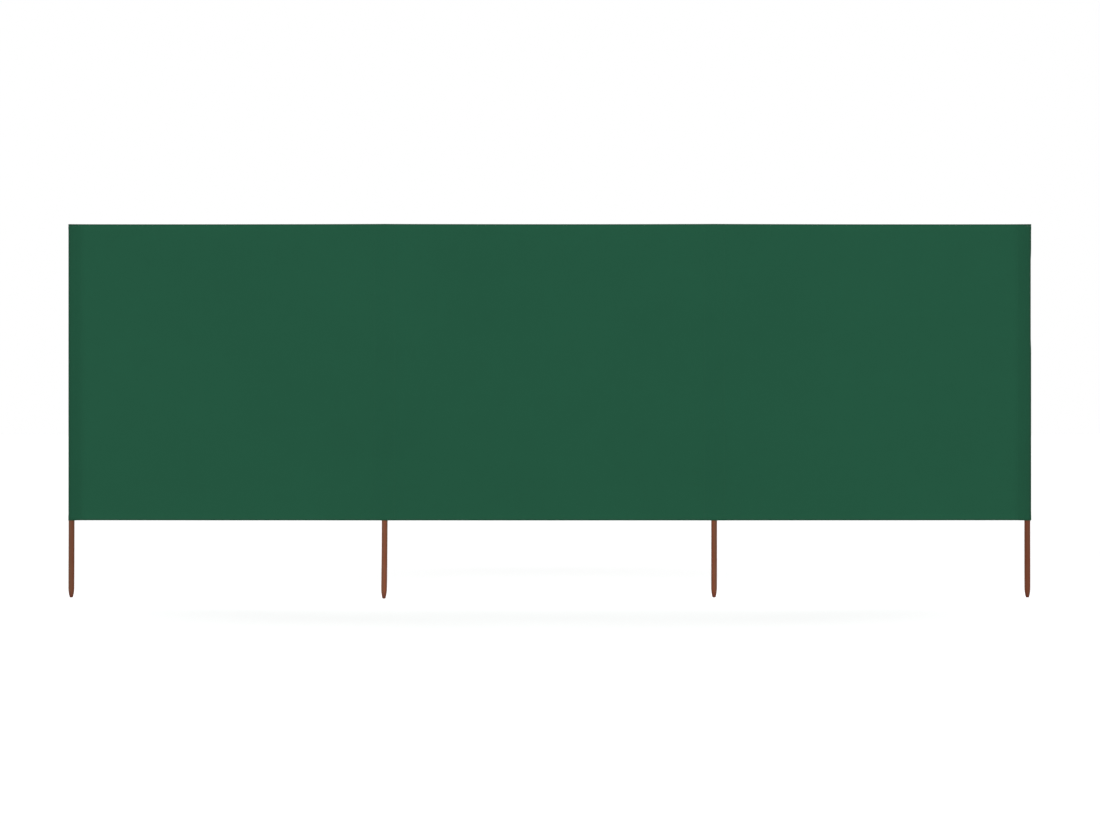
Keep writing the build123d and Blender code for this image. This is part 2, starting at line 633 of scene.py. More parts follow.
@dataclass
class SewnCloth:
    """A cut of cloth, folded to a plan, hemmed top and bottom and drawn in over the pole tops.

    Attributes:
        name: The piece's name.
        layout: Where the poles and the cloth are.
        stock: The cloth.
        shift: How the taut cloth moves.
        fine_row: The spacing of the rows where the cloth is drawn in.
        coarse_row: The spacing of the rows half way up.
        first_row: From the bottom edge to the first row past its fold.
        first_step: The spacing of the rows there.
        bottom_hem_rows: Rows of the ply turned back at the bottom, by height above the edge.
        top_hem_row: The row of the ply turned back at the top, by depth below the edge.
        drawn_start: How far below the gathering the fine rows start.
        fold_points: The points round a hem's fold.
        hem_ease: The height over which what a hem does fades past it.
        hem_ply_and_painted_light: How much lighter a hem is, from its two plies and from painted
            light.
        bottom_fold_shade: The painted shade along the bottom fold.
        top_fold_shade: The painted shade along the top fold.
        fold_shade_reach: The height over which that painted shade fades.
        stitch_inset: From the cloth's edge to the stitches of its hem.
        pucker_reach: How far from them the stitches draw the cloth up.
        smooth_angle: Edges that turn by more than this stay sharp, in degrees.
        path: The plan that the cloth follows.
    """

    name: str
    layout: Layout
    stock: ClothStock
    shift: Shift
    fine_row: float = 1.3 * MM
    coarse_row: float = 20 * MM
    first_row: float = 1.2 * MM
    first_step: float = 1.8 * MM
    bottom_hem_rows: tuple[float, ...] = (16 * MM, 12 * MM, 8 * MM, 4 * MM)
    top_hem_row: float = 15.5 * MM
    drawn_start: float = 2 * MM
    fold_points: int = 5
    hem_ease: float = 4 * MM
    hem_ply_and_painted_light: float = 0.034
    bottom_fold_shade: float = 0.32
    top_fold_shade: float = 0.24
    fold_shade_reach: float = 5.5 * MM
    stitch_inset: float = 17 * MM
    pucker_reach: float = 5 * MM
    smooth_angle: float = 60.0
    path: PlanPath = field(init=False)

    def __post_init__(self) -> None:
        """Works out the plan."""
        self.path = self.draw_plan()

    @property
    def tube_radius(self) -> float:
        """The radius of the middle of the cloth that goes round a pole."""
        return self.layout.pole_radius + self.layout.clearance + self.stock.thickness / 2

    def draw_plan(self) -> PlanPath:
        """The plan that the cloth follows. Each kind of cut has its own."""
        raise NotImplementedError

    def rows(self) -> tuple[np.ndarray, np.ndarray]:
        """The cloth's rows, from the cut edge of the bottom hem to that of the top hem.

        Returns:
            The height of each row, and how far it lies behind the outer ply.
        """
        bottom = self.layout.cloth_bottom
        top = self.layout.cloth_top
        hem = self.layout.hem
        ply = self.stock.ply_pitch
        turn = np.linspace(math.pi, 0, self.fold_points)
        turn_in = ply / 2 * (1 - np.cos(turn))
        turn_down = ply / 2 * (1 - np.sin(turn))
        first_drawn = self.layout.gathering_bottom - self.drawn_start
        drawn = np.arange(first_drawn, top - ply, self.fine_row)
        under = bottom + np.array([hem, *self.bottom_hem_rows, self.first_row])
        middle = graded(bottom + self.first_row, drawn[0], self.first_step, self.coarse_row)
        over = np.concatenate([drawn[::-1], [top - self.top_hem_row, top - hem]])
        parts = (
            (under, under * 0 + ply),
            (bottom + turn_down, turn_in),
            (middle, middle * 0),
            (drawn[1:], drawn[1:] * 0),
            (top - turn_down[::-1], turn_in[::-1]),
            (over, over * 0 + ply),
        )
        heights, insets = zip(*parts)
        return np.concatenate(heights), np.concatenate(insets)

    def hemmed(self, z: np.ndarray) -> np.ndarray:
        """Where the hems are.

        Args:
            z: Heights.

        Returns:
            1 at the heights of the hems, to 0 just past them.
        """
        past_bottom = z - (self.layout.cloth_bottom + self.layout.hem)
        past_top = (self.layout.cloth_top - self.layout.hem) - z
        return 1 - smooth(np.minimum(past_bottom, past_top) / self.hem_ease)

    def looseness(self, z: np.ndarray) -> np.ndarray:
        """How loose the cloth hangs round the pole at each height, from 0 to 1."""
        return z * 0.0

    def place(
        self, along: np.ndarray, z: np.ndarray, inset: np.ndarray | float = 0.0
    ) -> tuple[np.ndarray, np.ndarray]:
        """Places of the cloth's middle surface.

        Args:
            along: Distances along the cloth from its side edge.
            z: Heights.
            inset: How far the ply lies behind the outer one.

        Returns:
            The places, and the outward directions there.
        """
        along, z = np.broadcast_arrays(along, z)
        shut = self.shut(z)
        point, out = self.path.at(along, shut)
        offset = self.path.read(along, self.path.lift) * self.hemmed(z) - inset
        slack = self.looseness(z)
        flat = point + out * offset[..., None]
        flat = flat + self.path.read(along, self.path.loose) * slack[..., None]
        place = np.concatenate([flat, z[..., None]], -1)
        face = np.concatenate([out, z[..., None] * 0.0], -1)
        return place + self.shift.at(place[..., 0], z), face

    def shut(self, z: np.ndarray) -> np.ndarray:
        """How far the cloth over the poles is drawn in at each height, from 0 to 1."""
        gathered = self.layout.gathering_top - self.layout.gathering_bottom
        return smooth((z - self.layout.gathering_bottom) / gathered)

    def painted_shading(self, z: np.ndarray, inset: np.ndarray) -> np.ndarray:
        """The painted light and shade of each point of the cloth, as a share of the plain cloth.

        Args:
            z: The rows' heights.
            inset: How far each row lies behind the outer ply.

        Returns:
            One share for each point along and row.
        """
        # Painted shade along the folds at the bottom and top edges
        fold_shade = self.bottom_fold_shade * fading(z - self.layout.cloth_bottom, self.fold_shade_reach)
        fold_shade = fold_shade + self.top_fold_shade * fading(self.layout.cloth_top - z, self.fold_shade_reach)
        # Lighter over the hems: partly their two plies, partly painted light
        hem_light = self.hemmed(z) * self.hem_ply_and_painted_light
        # Painted shade over and beside the poles, on the outer ply only
        shade = self.path.shade[:, None] * (inset < self.stock.ply_pitch / 2)
        return (1 + hem_light - fold_shade) * (1 - shade)

    def pucker(self, z: np.ndarray) -> np.ndarray:
        """How much the stitches draw up each point of the cloth.

        Args:
            z: The rows' heights.

        Returns:
            From 0 to 1 for each point along and row.
        """
        from_edge = np.minimum(z - self.layout.cloth_bottom, self.layout.cloth_top - z)
        from_hem = np.abs(from_edge - self.stitch_inset)
        nearest = np.minimum(self.path.seam_gap[:, None], from_hem)
        return fading(nearest, self.pucker_reach)

    def sew(self, material: bpy.types.Material) -> bpy.types.Object:
        """Makes the cloth as one mesh with its real thickness.

        Args:
            material: The finish.

        Returns:
            The finished piece. Its UV map, in metres, is its cut laid flat, with every upright
            thread as long as it is in the piece.
        """
        z, inset = self.rows()
        along = self.path.along
        places = self.place(along[:, None], z[None, :], inset[None, :])[0]
        piece, faces = grid_mesh(self.name, places)
        mesh = piece.data
        steps = np.linalg.norm(np.diff(places, axis=1), axis=2)
        climbed = np.pad(np.cumsum(steps, axis=1), ((0, 0), (1, 0)))
        flat = np.stack(np.broadcast_arrays(along[:, None], climbed), -1).reshape(-1, 2)
        cut = mesh.uv_layers.new(name="flat_cut")
        cut.data.foreach_set("uv", flat[faces.ravel()].astype(np.float32).ravel())
        for label, values in (("painted_shading", self.painted_shading(z, inset)), ("pucker", self.pucker(z))):
            layer = mesh.attributes.new(label, "FLOAT", "POINT")
            layer.data.foreach_set("value", values.astype(np.float32).ravel())
        wall = piece.modifiers.new("thickness", "SOLIDIFY")
        wall.thickness = self.stock.thickness
        wall.offset = 0
        finish_shape(piece, self.smooth_angle)
        mesh.materials.append(material)
        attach(piece, BODY)
        report(piece)
        return piece

    @property
    def flat_size(self) -> tuple[float, float]:
        """The width and the height of the cut before it's sewn."""
        height = travelled(np.stack(self.rows(), 1))[-1]
        return float(self.path.along[-1]), float(height)

    @property
    def hem_stitches(self) -> tuple[float, float]:
        """The heights of the stitches of the bottom hem and the top hem."""
        inset = self.stitch_inset
        return self.layout.cloth_bottom + inset, self.layout.cloth_top - inset


@dataclass(frozen=True)
class PaintedPoleShade:
    """Painted shade on the cloth over and beside the poles.

    Attributes:
        over: Painted shade over each pole, from seam to seam, where less light comes through.
        over_fade: The width over which that fades beyond the seams.
        beside: Painted shade beside the end poles, where the sleeve turns from the light.
        beside_start: Where that starts to fade, from the cloth's end edge.
        beside_fade: The width over which it fades.
        edge: Painted shade at the end edge, where the cloth turns away from the light.
        edge_reach: How far in that reaches.
    """

    over: float = 0.013
    over_fade: float = 30 * MM
    beside: float = 0.08
    beside_start: float = 22 * MM
    beside_fade: float = 54 * MM
    edge: float = 0.24
    edge_reach: float = 11 * MM

    def at(self, past_seam: np.ndarray, from_end: np.ndarray) -> np.ndarray:
        """How much painted shade places of the cloth get.

        Args:
            past_seam: From the seams of the nearest pole outwards.
            from_end: From the nearest end edge inwards.

        Returns:
            A share for each place.
        """
        shade = self.over * (1 - smooth(past_seam / self.over_fade))
        past_start = (from_end - self.beside_start) / self.beside_fade
        shade = shade + self.beside * (1 - smooth(past_start))
        return shade + self.edge * fading(from_end, self.edge_reach)


@dataclass
class MainSheet(SewnCloth):
    """The long sheet: a sleeve round each end pole and three bays past the middle poles.

    Attributes:
        bay_step: The widest spacing of the points along a bay.
        fine_step: The spacing of the points beside a sleeve or pocket.
        pocket_step: Their widest spacing across a pocket.
        lift_fade: From a sleeve on, the width over which the sheet comes back to its line.
        edge_turn: The length of cloth over which a sleeve drawn in flat turns at its edge.
        loosest: How far the sleeve of pole 4 stands off its pole where it's loosest.
        tight_bottom: The height where its tight stretch starts.
        tight_top: The height where that stretch ends.
        tight_ease: The height over which it starts and ends.
        tight_share: How much of the slack that stretch takes up.
        shade: The painted shade over and beside the poles.
    """

    bay_step: float = 20 * MM
    fine_step: float = 5 * MM
    pocket_step: float = 6 * MM
    lift_fade: float = 30 * MM
    edge_turn: float = 1.2 * MM
    loosest: float = 3.1 * MM
    tight_bottom: float = 1.00
    tight_top: float = 1.41
    tight_ease: float = 0.05
    tight_share: float = 0.52
    shade: PaintedPoleShade = PaintedPoleShade()

    @property
    def tube(self) -> Tube:
        """The plan of an end sleeve from its seam round the pole and back."""
        return Tube(self.layout.seam_reach, self.stock.ply_pitch / 2, self.tube_radius)

    @property
    def sleeve_girth(self) -> float:
        """The length of cloth in a sleeve from its seam round the pole and back."""
        open_line = self.sleeve_plan()[0]
        return float(travelled(open_line)[-1]) - self.layout.seam_allowance

    def along_at(self, x: float) -> float:
        """The distance along the cloth at a place between the two sleeves.

        Args:
            x: The place along X.

        Returns:
            The distance from the cut edge behind pole 1.
        """
        first = len(self.sleeve_plan()[0])
        count = len(self.path.along)
        bays = slice(first, count - first)
        return float(np.interp(x, self.path.open_points[bays, 0], self.path.along[bays]))

    def sleeve_plan(self) -> tuple[np.ndarray, np.ndarray]:
        """The left sleeve in plan, from its cut edge behind to its front seam.

        Returns:
            Its line round the pole, and its line where it's drawn in flat.
        """
        tube = self.tube
        across, depth = tube.seam_x, tube.seam_y
        open_tube = tube.wrap((across, depth), (across, -depth))
        from_seam = travelled(open_tube)
        half = from_seam[-1] / 2
        from_edge = np.abs(from_seam - half)
        x = -tube.radius + from_edge * (across + tube.radius) / half
        side = np.clip((half - from_seam) / self.edge_turn, -1, 1)
        y = side * depth + tube.gathers(from_edge, half)
        shut_tube = np.stack([x, y], 1)
        behind = tube.past_seam(self.layout.sleeve_reach)
        return np.concatenate([behind, open_tube]), np.concatenate([behind, shut_tube])

    def front_y(self, x: np.ndarray) -> np.ndarray:
        """The middle of the sheet between the end seams.

        Args:
            x: Places along X.

        Returns:
            The sheet's place along Y: a straight slant in the end bays, and flat in the middle.
        """
        layout = self.layout
        seam_y = -self.stock.ply_pitch / 2
        places = [
            layout.pole_x[0] + layout.sleeve_reach,
            layout.pole_x[1] - layout.sleeve_reach,
            layout.pole_x[2] + layout.sleeve_reach,
            layout.pole_x[3] - layout.sleeve_reach,
        ]
        tight = -self.tube.radius
        return np.interp(x, places, [seam_y, tight, tight, seam_y])

    def bay_places(self) -> np.ndarray:
        """Spaces the sheet's points between the two sleeves.

        Returns:
            Their places along X, closest together beside the sleeves and pockets.
        """
        reach = self.layout.sleeve_reach
        edges = [x + side * reach for x in self.layout.pole_x for side in (-1, 1)]
        places = []
        for number, (start, end) in enumerate(pairwise(edges[1:-1])):
            in_bay = number % 2 == 0
            widest = self.bay_step if in_bay else self.pocket_step
            places.append(graded(start, end, self.fine_step, widest))
        return np.unique(np.concatenate(places).round(7))

    def draw_plan(self) -> PlanPath:
        """Draws the sheet's plan, from the cut edge behind pole 1 to the one behind pole 4.

        Returns:
            The plan.
        """
        layout = self.layout
        open_left, shut_left = self.sleeve_plan()
        bay_x = self.bay_places()
        bays = np.stack([bay_x, self.front_y(bay_x)], 1)
        last_x = layout.pole_x[3]
        turned = np.array([-1.0, 1.0])
        open_right = open_left[::-1] * turned + (last_x, 0.0)
        shut_right = shut_left[::-1] * turned + (last_x, 0.0)
        open_points = np.concatenate([open_left, bays, open_right])
        shut_points = np.concatenate([shut_left, bays, shut_right])
        x = open_points[:, 0]
        past_sleeve = np.minimum(x - layout.sleeve_reach, last_x - layout.sleeve_reach - x)
        outside = np.clip((x - last_x) / self.tube_radius, 0, 1)
        past_seam = layout.from_pole(x) - layout.seam_reach
        from_end = np.maximum(np.minimum(x, last_x - x) + self.tube_radius, 0.0)
        return PlanPath(
            open_points=open_points,
            shut_points=shut_points,
            lift=self.stock.ply_pitch * (1 - smooth(past_sleeve / self.lift_fade)),
            loose=np.stack([self.loosest * np.sqrt(outside), x * 0], 1),
            seam_gap=np.abs(past_seam),
            # Painted shade over and beside the poles
            shade=self.shade.at(past_seam, from_end),
        )

    def looseness(self, z: np.ndarray) -> np.ndarray:
        """How loose the sleeve of pole 4 hangs, with a tight stretch in its upper half.

        Args:
            z: Heights.

        Returns:
            A share of the loosest for each height.
        """
        tight = smooth((z - self.tight_bottom) / self.tight_ease)
        tight = tight * smooth((self.tight_top - z) / self.tight_ease)
        return 1 - self.tight_share * tight


@dataclass
class PocketStrip(SewnCloth):
    """The strip sewn up the back of the sheet that holds a middle pole.

    Attributes:
        pole: The number of the pole in it.
        gather_lift: How far behind the sheet the gathers' middle lies, in gathers' heights.
        gather_ease: From each seam, the length of cloth over which they rise to that.
    """

    pole: int = 2
    gather_lift: float = 1.3
    gather_ease: float = 6 * MM

    @property
    def tube(self) -> Tube:
        """The plan of the pocket from one seam round the back of the pole to the other."""
        radius = self.tube_radius
        return Tube(self.layout.seam_reach, self.stock.ply_pitch - radius, radius)

    def draw_plan(self) -> PlanPath:
        """Draws the strip's plan, walked towards -X, so that its outside is at the back.

        Returns:
            The plan.
        """
        layout = self.layout
        tube = self.tube
        across, depth = tube.seam_x, tube.seam_y
        bow = tube.wrap((across, depth), (-across, depth))
        from_seam = travelled(bow)
        width = from_seam[-1]
        ease = smooth(from_seam / self.gather_ease) * smooth((width - from_seam) / self.gather_ease)
        rise = self.gather_lift * tube.gather_height + tube.gathers(from_seam, width)
        flat_x = across - 2 * across * from_seam / width
        shut_bow = np.stack([flat_x, depth + rise * ease], 1)
        edge = tube.past_seam(layout.sleeve_reach)
        far_edge = edge[::-1] * (-1, 1)
        centre = np.array([layout.pole_x[self.pole - 1], 0.0])
        open_points = np.concatenate([edge, bow, far_edge])
        shut_points = np.concatenate([edge, shut_bow, far_edge])
        from_pole = np.abs(open_points[:, 0])
        at_seam = smooth((from_pole - layout.pole_radius) / (across - layout.pole_radius))
        return PlanPath(
            open_points=open_points + centre,
            shut_points=shut_points + centre,
            lift=self.stock.ply_pitch * (1 + at_seam),
            loose=open_points * 0.0,
            seam_gap=np.abs(from_pole - across),
            shade=from_pole * 0.0,
        )


@dataclass(frozen=True)
class Thread:
    """Sewing thread and the length of the stitches made with it.

    Attributes:
        pitch: From one stitch to the next.
        lead: From the start of a row to its first stitch, in pitches.
        length: The part of a stitch that lies on the cloth.
        radius: Half the thread's width.
        widened: How much wider the thread is where it's pressed flat on the cloth.
        flattened: How much lower it is there.
        dip: How far its ends dip into the cloth, in radii.
        seat: How high its middle lies on the cloth, in radii.
        segments: Faces round the thread.
        rings: Faces along a stitch.
        turn_spread: How much the stitches differ in direction, in radians.
        size_spread: How much they differ in size, as a share.
        seed: What those differences start from.
    """

    pitch: float = 3.2 * MM
    lead: float = 0.6
    length: float = 2.75 * MM
    radius: float = 0.21 * MM
    widened: float = 1.15
    flattened: float = 0.85
    dip: float = 0.9
    seat: float = 0.35
    segments: int = 6
    rings: int = 4
    turn_spread: float = 0.05
    size_spread: float = 0.03
    seed: int = 7


@dataclass
class Stitching:
    """One piece of stitching: rows of like stitches that lie on the cloth.

    Attributes:
        name: The piece's name.
        thread: The thread.
        feel: How far to each side a stitch feels the way of its seam, in pitches.
        rows: The places, the ways along the seam and the ways off the cloth of each row.
    """

    name: str
    thread: Thread
    feel: float = 0.4
    rows: list[tuple[np.ndarray, np.ndarray, np.ndarray]] = field(default_factory=list)

    def add_row(
        self,
        cloth: SewnCloth,
        along: np.ndarray,
        z: np.ndarray,
        face: Face,
        inset: float = 0.0,
    ) -> None:
        """Lays a row of stitches on a ply of cloth.

        Args:
            cloth: The cloth that is sewn.
            along: The distance along the cloth of each stitch.
            z: The height of each stitch.
            face: The face of the ply that they lie on.
            inset: How far that ply lies behind the outer one.
        """
        along, z = np.broadcast_arrays(along, z)
        near = self.feel * self.thread.pitch
        step_along = near * np.sign(np.ptp(along))
        step_up = near * np.sign(np.ptp(z))
        ahead = cloth.place(along + step_along, z + step_up, inset)[0]
        astern = cloth.place(along - step_along, z - step_up, inset)[0]
        here, out = cloth.place(along, z, inset)
        way = unit(ahead - astern)
        off = out * face.value
        off = unit(off - way * np.sum(off * way, -1, keepdims=True))
        middle = (ahead + astern + here) / 3
        height = cloth.stock.thickness / 2 + self.thread.seat * self.thread.radius
        self.rows.append((middle + off * height, way, off))

    def one_stitch(self) -> bpy.types.Object:
        """Models a single stitch along X: a grain of thread that dips into the cloth at its ends.

        Returns:
            The stitch as an object at the origin.
        """
        thread = self.thread
        bpy.ops.object.select_all(action="DESELECT")
        bpy.ops.mesh.primitive_uv_sphere_add(
            segments=thread.segments,
            ring_count=thread.rings,
            radius=thread.radius,
            location=(0, 0, 0),
        )
        stitch = bpy.context.object
        bpy.ops.object.mode_set(mode="EDIT")
        bpy.ops.mesh.select_all(action="SELECT")
        bpy.ops.transform.rotate(
            value=math.pi / 2, orient_axis="Y", orient_type="GLOBAL", center_override=(0, 0, 0)
        )
        stretch = thread.length / (2 * thread.radius)
        bpy.ops.transform.resize(
            value=(stretch, thread.widened, thread.flattened), center_override=(0, 0, 0)
        )
        bpy.ops.object.mode_set(mode="OBJECT")
        for point in stitch.data.vertices:
            share = point.co.x / (thread.length / 2)
            point.co.z -= thread.dip * thread.radius * share**4
        return stitch

    def sew(self, material: bpy.types.Material) -> bpy.types.Object:
        """Copies the stitch along every row into one mesh.

        Args:
            material: The thread's finish.

        Returns:
            The finished piece.
        """
        model = self.one_stitch()
        shape = np.array([point.co for point in model.data.vertices])
        faces = [list(polygon.vertices) for polygon in model.data.polygons]
        wrap = np.zeros(len(model.data.loops) * 2, np.float32)
        model.data.uv_layers[0].data.foreach_get("uv", wrap)
        bpy.data.objects.remove(model)
        places, ways, offs = (np.concatenate(parts) for parts in zip(*self.rows))
        chance = np.random.default_rng(self.thread.seed)
        count = len(places)
        swing = chance.normal(0, self.thread.turn_spread, count)[:, None]
        size = chance.normal(1, self.thread.size_spread, count)[:, None, None]
        across = np.cross(offs, ways)
        turned = ways * np.cos(swing) + across * np.sin(swing)
        across = np.cross(offs, turned)
        axes = np.stack([turned, across, offs], 1)
        points = places[:, None, :] + np.einsum("vk,nkc->nvc", shape, axes) * size
        starts = np.arange(count) * len(shape)
        copied = [[start + corner for corner in face] for start in starts.tolist() for face in faces]
        mesh = bpy.data.meshes.new(self.name)
        mesh.from_pydata(points.reshape(-1, 3).tolist(), [], copied)
        mesh.uv_layers.new(name="round_thread").data.foreach_set("uv", np.tile(wrap, count))
        mesh.materials.append(material)
        mesh.polygons.foreach_set("use_smooth", np.ones(len(mesh.polygons), bool))
        piece = bpy.data.objects.new(self.name, mesh)
        bpy.context.scene.collection.objects.link(piece)
        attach(piece, BODY)
        report(piece)
        return piece


class Nodes:
    """Adds nodes to a tree and joins them."""

    def __init__(self, tree: bpy.types.NodeTree) -> None:
        """Starts on a tree.

        Args:
            tree: A material's tree or a group.
        """
        self.tree = tree

    def add(self, kind: str, inputs: dict | None = None, **settings: object) -> bpy.types.Node:
        """Adds a node.

        Args:
            kind: The node's type.
            inputs: What each input gets: a socket to join, or a plain value.
            settings: The node's own settings.

        Returns:
            The node.
        """
        node = self.tree.nodes.new(kind)
        for name, value in settings.items():
            setattr(node, name, value)
        for key, value in (inputs or {}).items():
            self.feed(node.inputs[key], value)
        return node

    def feed(self, socket: bpy.types.NodeSocket, value: object) -> None:
        """Joins a socket to an input, or sets the input's value.

        Args:
            socket: The input.
            value: The socket to join, or a plain value.
        """
        if isinstance(value, bpy.types.NodeSocket):
            self.tree.links.new(value, socket)
        else:
            socket.default_value = value

    def math(self, operation: str, *values: object, clamp: bool = False) -> bpy.types.NodeSocket:
        """Adds a Math node.

        Args:
            operation: What it works out.
            values: Its inputs in order: sockets or plain numbers.
            clamp: Whether the result is kept between 0 and 1.

        Returns:
            Its result.
        """
        inputs = dict(enumerate(values))
        node = self.add("ShaderNodeMath", inputs, operation=operation, use_clamp=clamp)
        return node.outputs[0]

    def mix(self, share: object, first: object, second: object) -> bpy.types.NodeSocket:
        """Mixes two colours, with the first where the share is 0."""
        inputs = {0: share, 6: first, 7: second}
        return self.add("ShaderNodeMix", inputs, data_type="RGBA").outputs[2]

    def scaled(self, vector: object, scale: object) -> bpy.types.NodeSocket:
        """Multiplies a vector by another, part by part."""
        node = self.add("ShaderNodeVectorMath", {0: vector, 1: scale}, operation="MULTIPLY")
        return node.outputs[0]

    def noise(
        self, vector: object, scale: object = 1.0, detail: float = 2.0
    ) -> bpy.types.NodeSocket:
        """Soft noise from 0 to 1, with as many patches to the metre as the scale."""
        inputs = {"Vector": vector, "Scale": scale, "Detail": detail}
        return self.add("ShaderNodeTexNoise", inputs).outputs["Fac"]

    def moved(self, place: object, to_origin: float) -> bpy.types.NodeSocket:
        """A place counted along X from another origin."""
        inputs = {"Vector": place, "Location": (-to_origin, 0.0, 0.0)}
        return self.add("ShaderNodeMapping", inputs, vector_type="POINT").outputs[0]

    def spread(self, value: object, low: float, high: float) -> bpy.types.NodeSocket:
        """Spreads the values from low to high over 0 to 1, and clips the rest."""
        inputs = {"Value": value, "From Min": low, "From Max": high}
        return self.add("ShaderNodeMapRange", inputs).outputs["Result"]

    def principled(self, **inputs: object) -> bpy.types.Node:
        """Adds the surface of a material and joins it to the output.

        Args:
            inputs: The surface's inputs, with _ for each space in their names.

        Returns:
            The Principled node.
        """
        named = {name.replace("_", " "): value for name, value in inputs.items()}
        surface = self.add("ShaderNodeBsdfPrincipled", named)
        output = self.add("ShaderNodeOutputMaterial")
        self.tree.links.new(surface.outputs[0], output.inputs["Surface"])
        return surface

    def bump(self, height: object, distance: float, normal: object = None) -> bpy.types.NodeSocket:
        """A normal that a height tilts.

        Args:
            height: Heights from 0 to 1.
            distance: How high 1 stands.
            normal: A normal that is already tilted, if any.

        Returns:
            The tilted normal.
        """
        inputs = {"Height": height, "Distance": distance}
        if normal is not None:
            inputs["Normal"] = normal
        return self.add("ShaderNodeBump", inputs).outputs["Normal"]


class Effect:
    """A shared effect: a shader node group that is built the first time a material asks for it.

    Attributes:
        name: The group's name.
        inputs: Each input's socket type and usual value.
        outputs: Each output's socket type.
    """

    name: str = ""
    inputs: dict[str, tuple[str, object]] = {}
    outputs: dict[str, str] = {}

    def wire(self, nodes: Nodes, given: dict) -> dict:
        """Builds the inside of the group.

        Args:
            nodes: The group's tree.
            given: The group's inputs by name.

        Returns:
            What each output gets.
        """
        raise NotImplementedError

    def group(self) -> bpy.types.NodeTree:
        """Builds the node group, unless it's there already.

        Returns:
            The group.
        """
        found = bpy.data.node_groups.get(self.name)
        if found:
            return found
        tree = bpy.data.node_groups.new(self.name, "ShaderNodeTree")
        for name, (kind, usual) in self.inputs.items():
            socket = tree.interface.new_socket(name=name, in_out="INPUT", socket_type=kind)
            if usual is not None:
                socket.default_value = usual
        for name, kind in self.outputs.items():
            tree.interface.new_socket(name=name, in_out="OUTPUT", socket_type=kind)
        nodes = Nodes(tree)
        entry = nodes.add("NodeGroupInput")
        given = {name: entry.outputs[name] for name in self.inputs}
        nodes.add("NodeGroupOutput", self.wire(nodes, given))
        return tree

    def use(self, nodes: Nodes, **inputs: object) -> dict:
        """Places the group in a material.

        Args:
            nodes: The material's tree.
            inputs: The group's inputs, with _ for each space in their names.

        Returns:
            The group's outputs by name.
        """
        named = {name.replace("_", " "): value for name, value in inputs.items()}
        node = nodes.tree.nodes.new("ShaderNodeGroup")
        node.node_tree = self.group()
        for name, value in named.items():
            nodes.feed(node.inputs[name], value)
        return {socket.name: socket for socket in node.outputs}


FLOAT = "NodeSocketFloat"
VECTOR = "NodeSocketVector"


class PlainWeave(Effect):
    """Threads that pass over and under each other, one by one."""

    name = "plain_weave"
    inputs = {"Surface": (VECTOR, None), "Threads": (FLOAT, 1250.0)}
    outputs = {"Height": FLOAT}

    def wire(self, nodes: Nodes, given: dict) -> dict:
        """Threads run along both axes of the surface, as many to the metre as Threads says.

        Args:
            nodes: The group's tree.
            given: The group's inputs by name.

        Returns:
            The height of the cloth, from 0 to 1.
        """
        parts = nodes.add("ShaderNodeSeparateXYZ", {0: given["Surface"]}).outputs
        turns = nodes.math("MULTIPLY", given["Threads"], math.pi)
        waves = [nodes.math("SINE", nodes.math("MULTIPLY", part, turns)) for part in parts[:2]]
        over = nodes.math("MULTIPLY", *waves)
        warp_up = nodes.math("MULTIPLY_ADD", over, 0.5, 0.5)
        weft_up = nodes.math("SUBTRACT", 1.0, warp_up)
        warp, weft = (nodes.math("ABSOLUTE", wave) for wave in waves)
        warp = nodes.math("MULTIPLY", warp, warp_up)
        weft = nodes.math("MULTIPLY", weft, weft_up)
        return {"Height": nodes.math("MAXIMUM", warp, weft)}


class ThreadSlubs(Effect):
    """Long faint streaks both ways, where a thread is thicker or took the dye otherwise."""

    name = "thread_slubs"
    inputs = {"Surface": (VECTOR, None)}
    outputs = {"Streaks": FLOAT}
    # Patches to the metre across and along the cloth, and their sum's range
    warp_scale = (420.0, 5.0, 1.0)
    weft_scale = (4.0, 420.0, 1.0)
    low = 0.6
    high = 1.4

    def wire(self, nodes: Nodes, given: dict) -> dict:
        """Two noises, each drawn out along one axis of the surface.

        Args:
            nodes: The group's tree.
            given: The group's inputs by name.

        Returns:
            The streaks, from 0 to 1.
        """
        warp = nodes.noise(nodes.scaled(given["Surface"], self.warp_scale))
        weft = nodes.noise(nodes.scaled(given["Surface"], self.weft_scale))
        total = nodes.math("ADD", warp, weft)
        return {"Streaks": nodes.spread(total, self.low, self.high)}


class Mottle(Effect):
    """Soft uneven patches of a given size."""

    name = "mottle"
    inputs = {"Surface": (VECTOR, None), "Patches": (FLOAT, 4.0)}
    outputs = {"Shade": FLOAT}
    # How much finer and fainter the second noise is, and the range of the two together
    finer = 5.0
    fainter = 0.4
    low = 0.5
    high = 0.9

    def wire(self, nodes: Nodes, given: dict) -> dict:
        """Two sizes of noise, the first with as many patches to the metre as Patches says.

        Args:
            nodes: The group's tree.
            given: The group's inputs by name.

        Returns:
            The shade, from 0 to 1.
        """
        broad = nodes.noise(given["Surface"], given["Patches"])
        fine_scale = nodes.math("MULTIPLY", given["Patches"], self.finer)
        fine = nodes.noise(given["Surface"], fine_scale)
        both = nodes.math("MULTIPLY_ADD", fine, self.fainter, broad)
        return {"Shade": nodes.spread(both, self.low, self.high)}


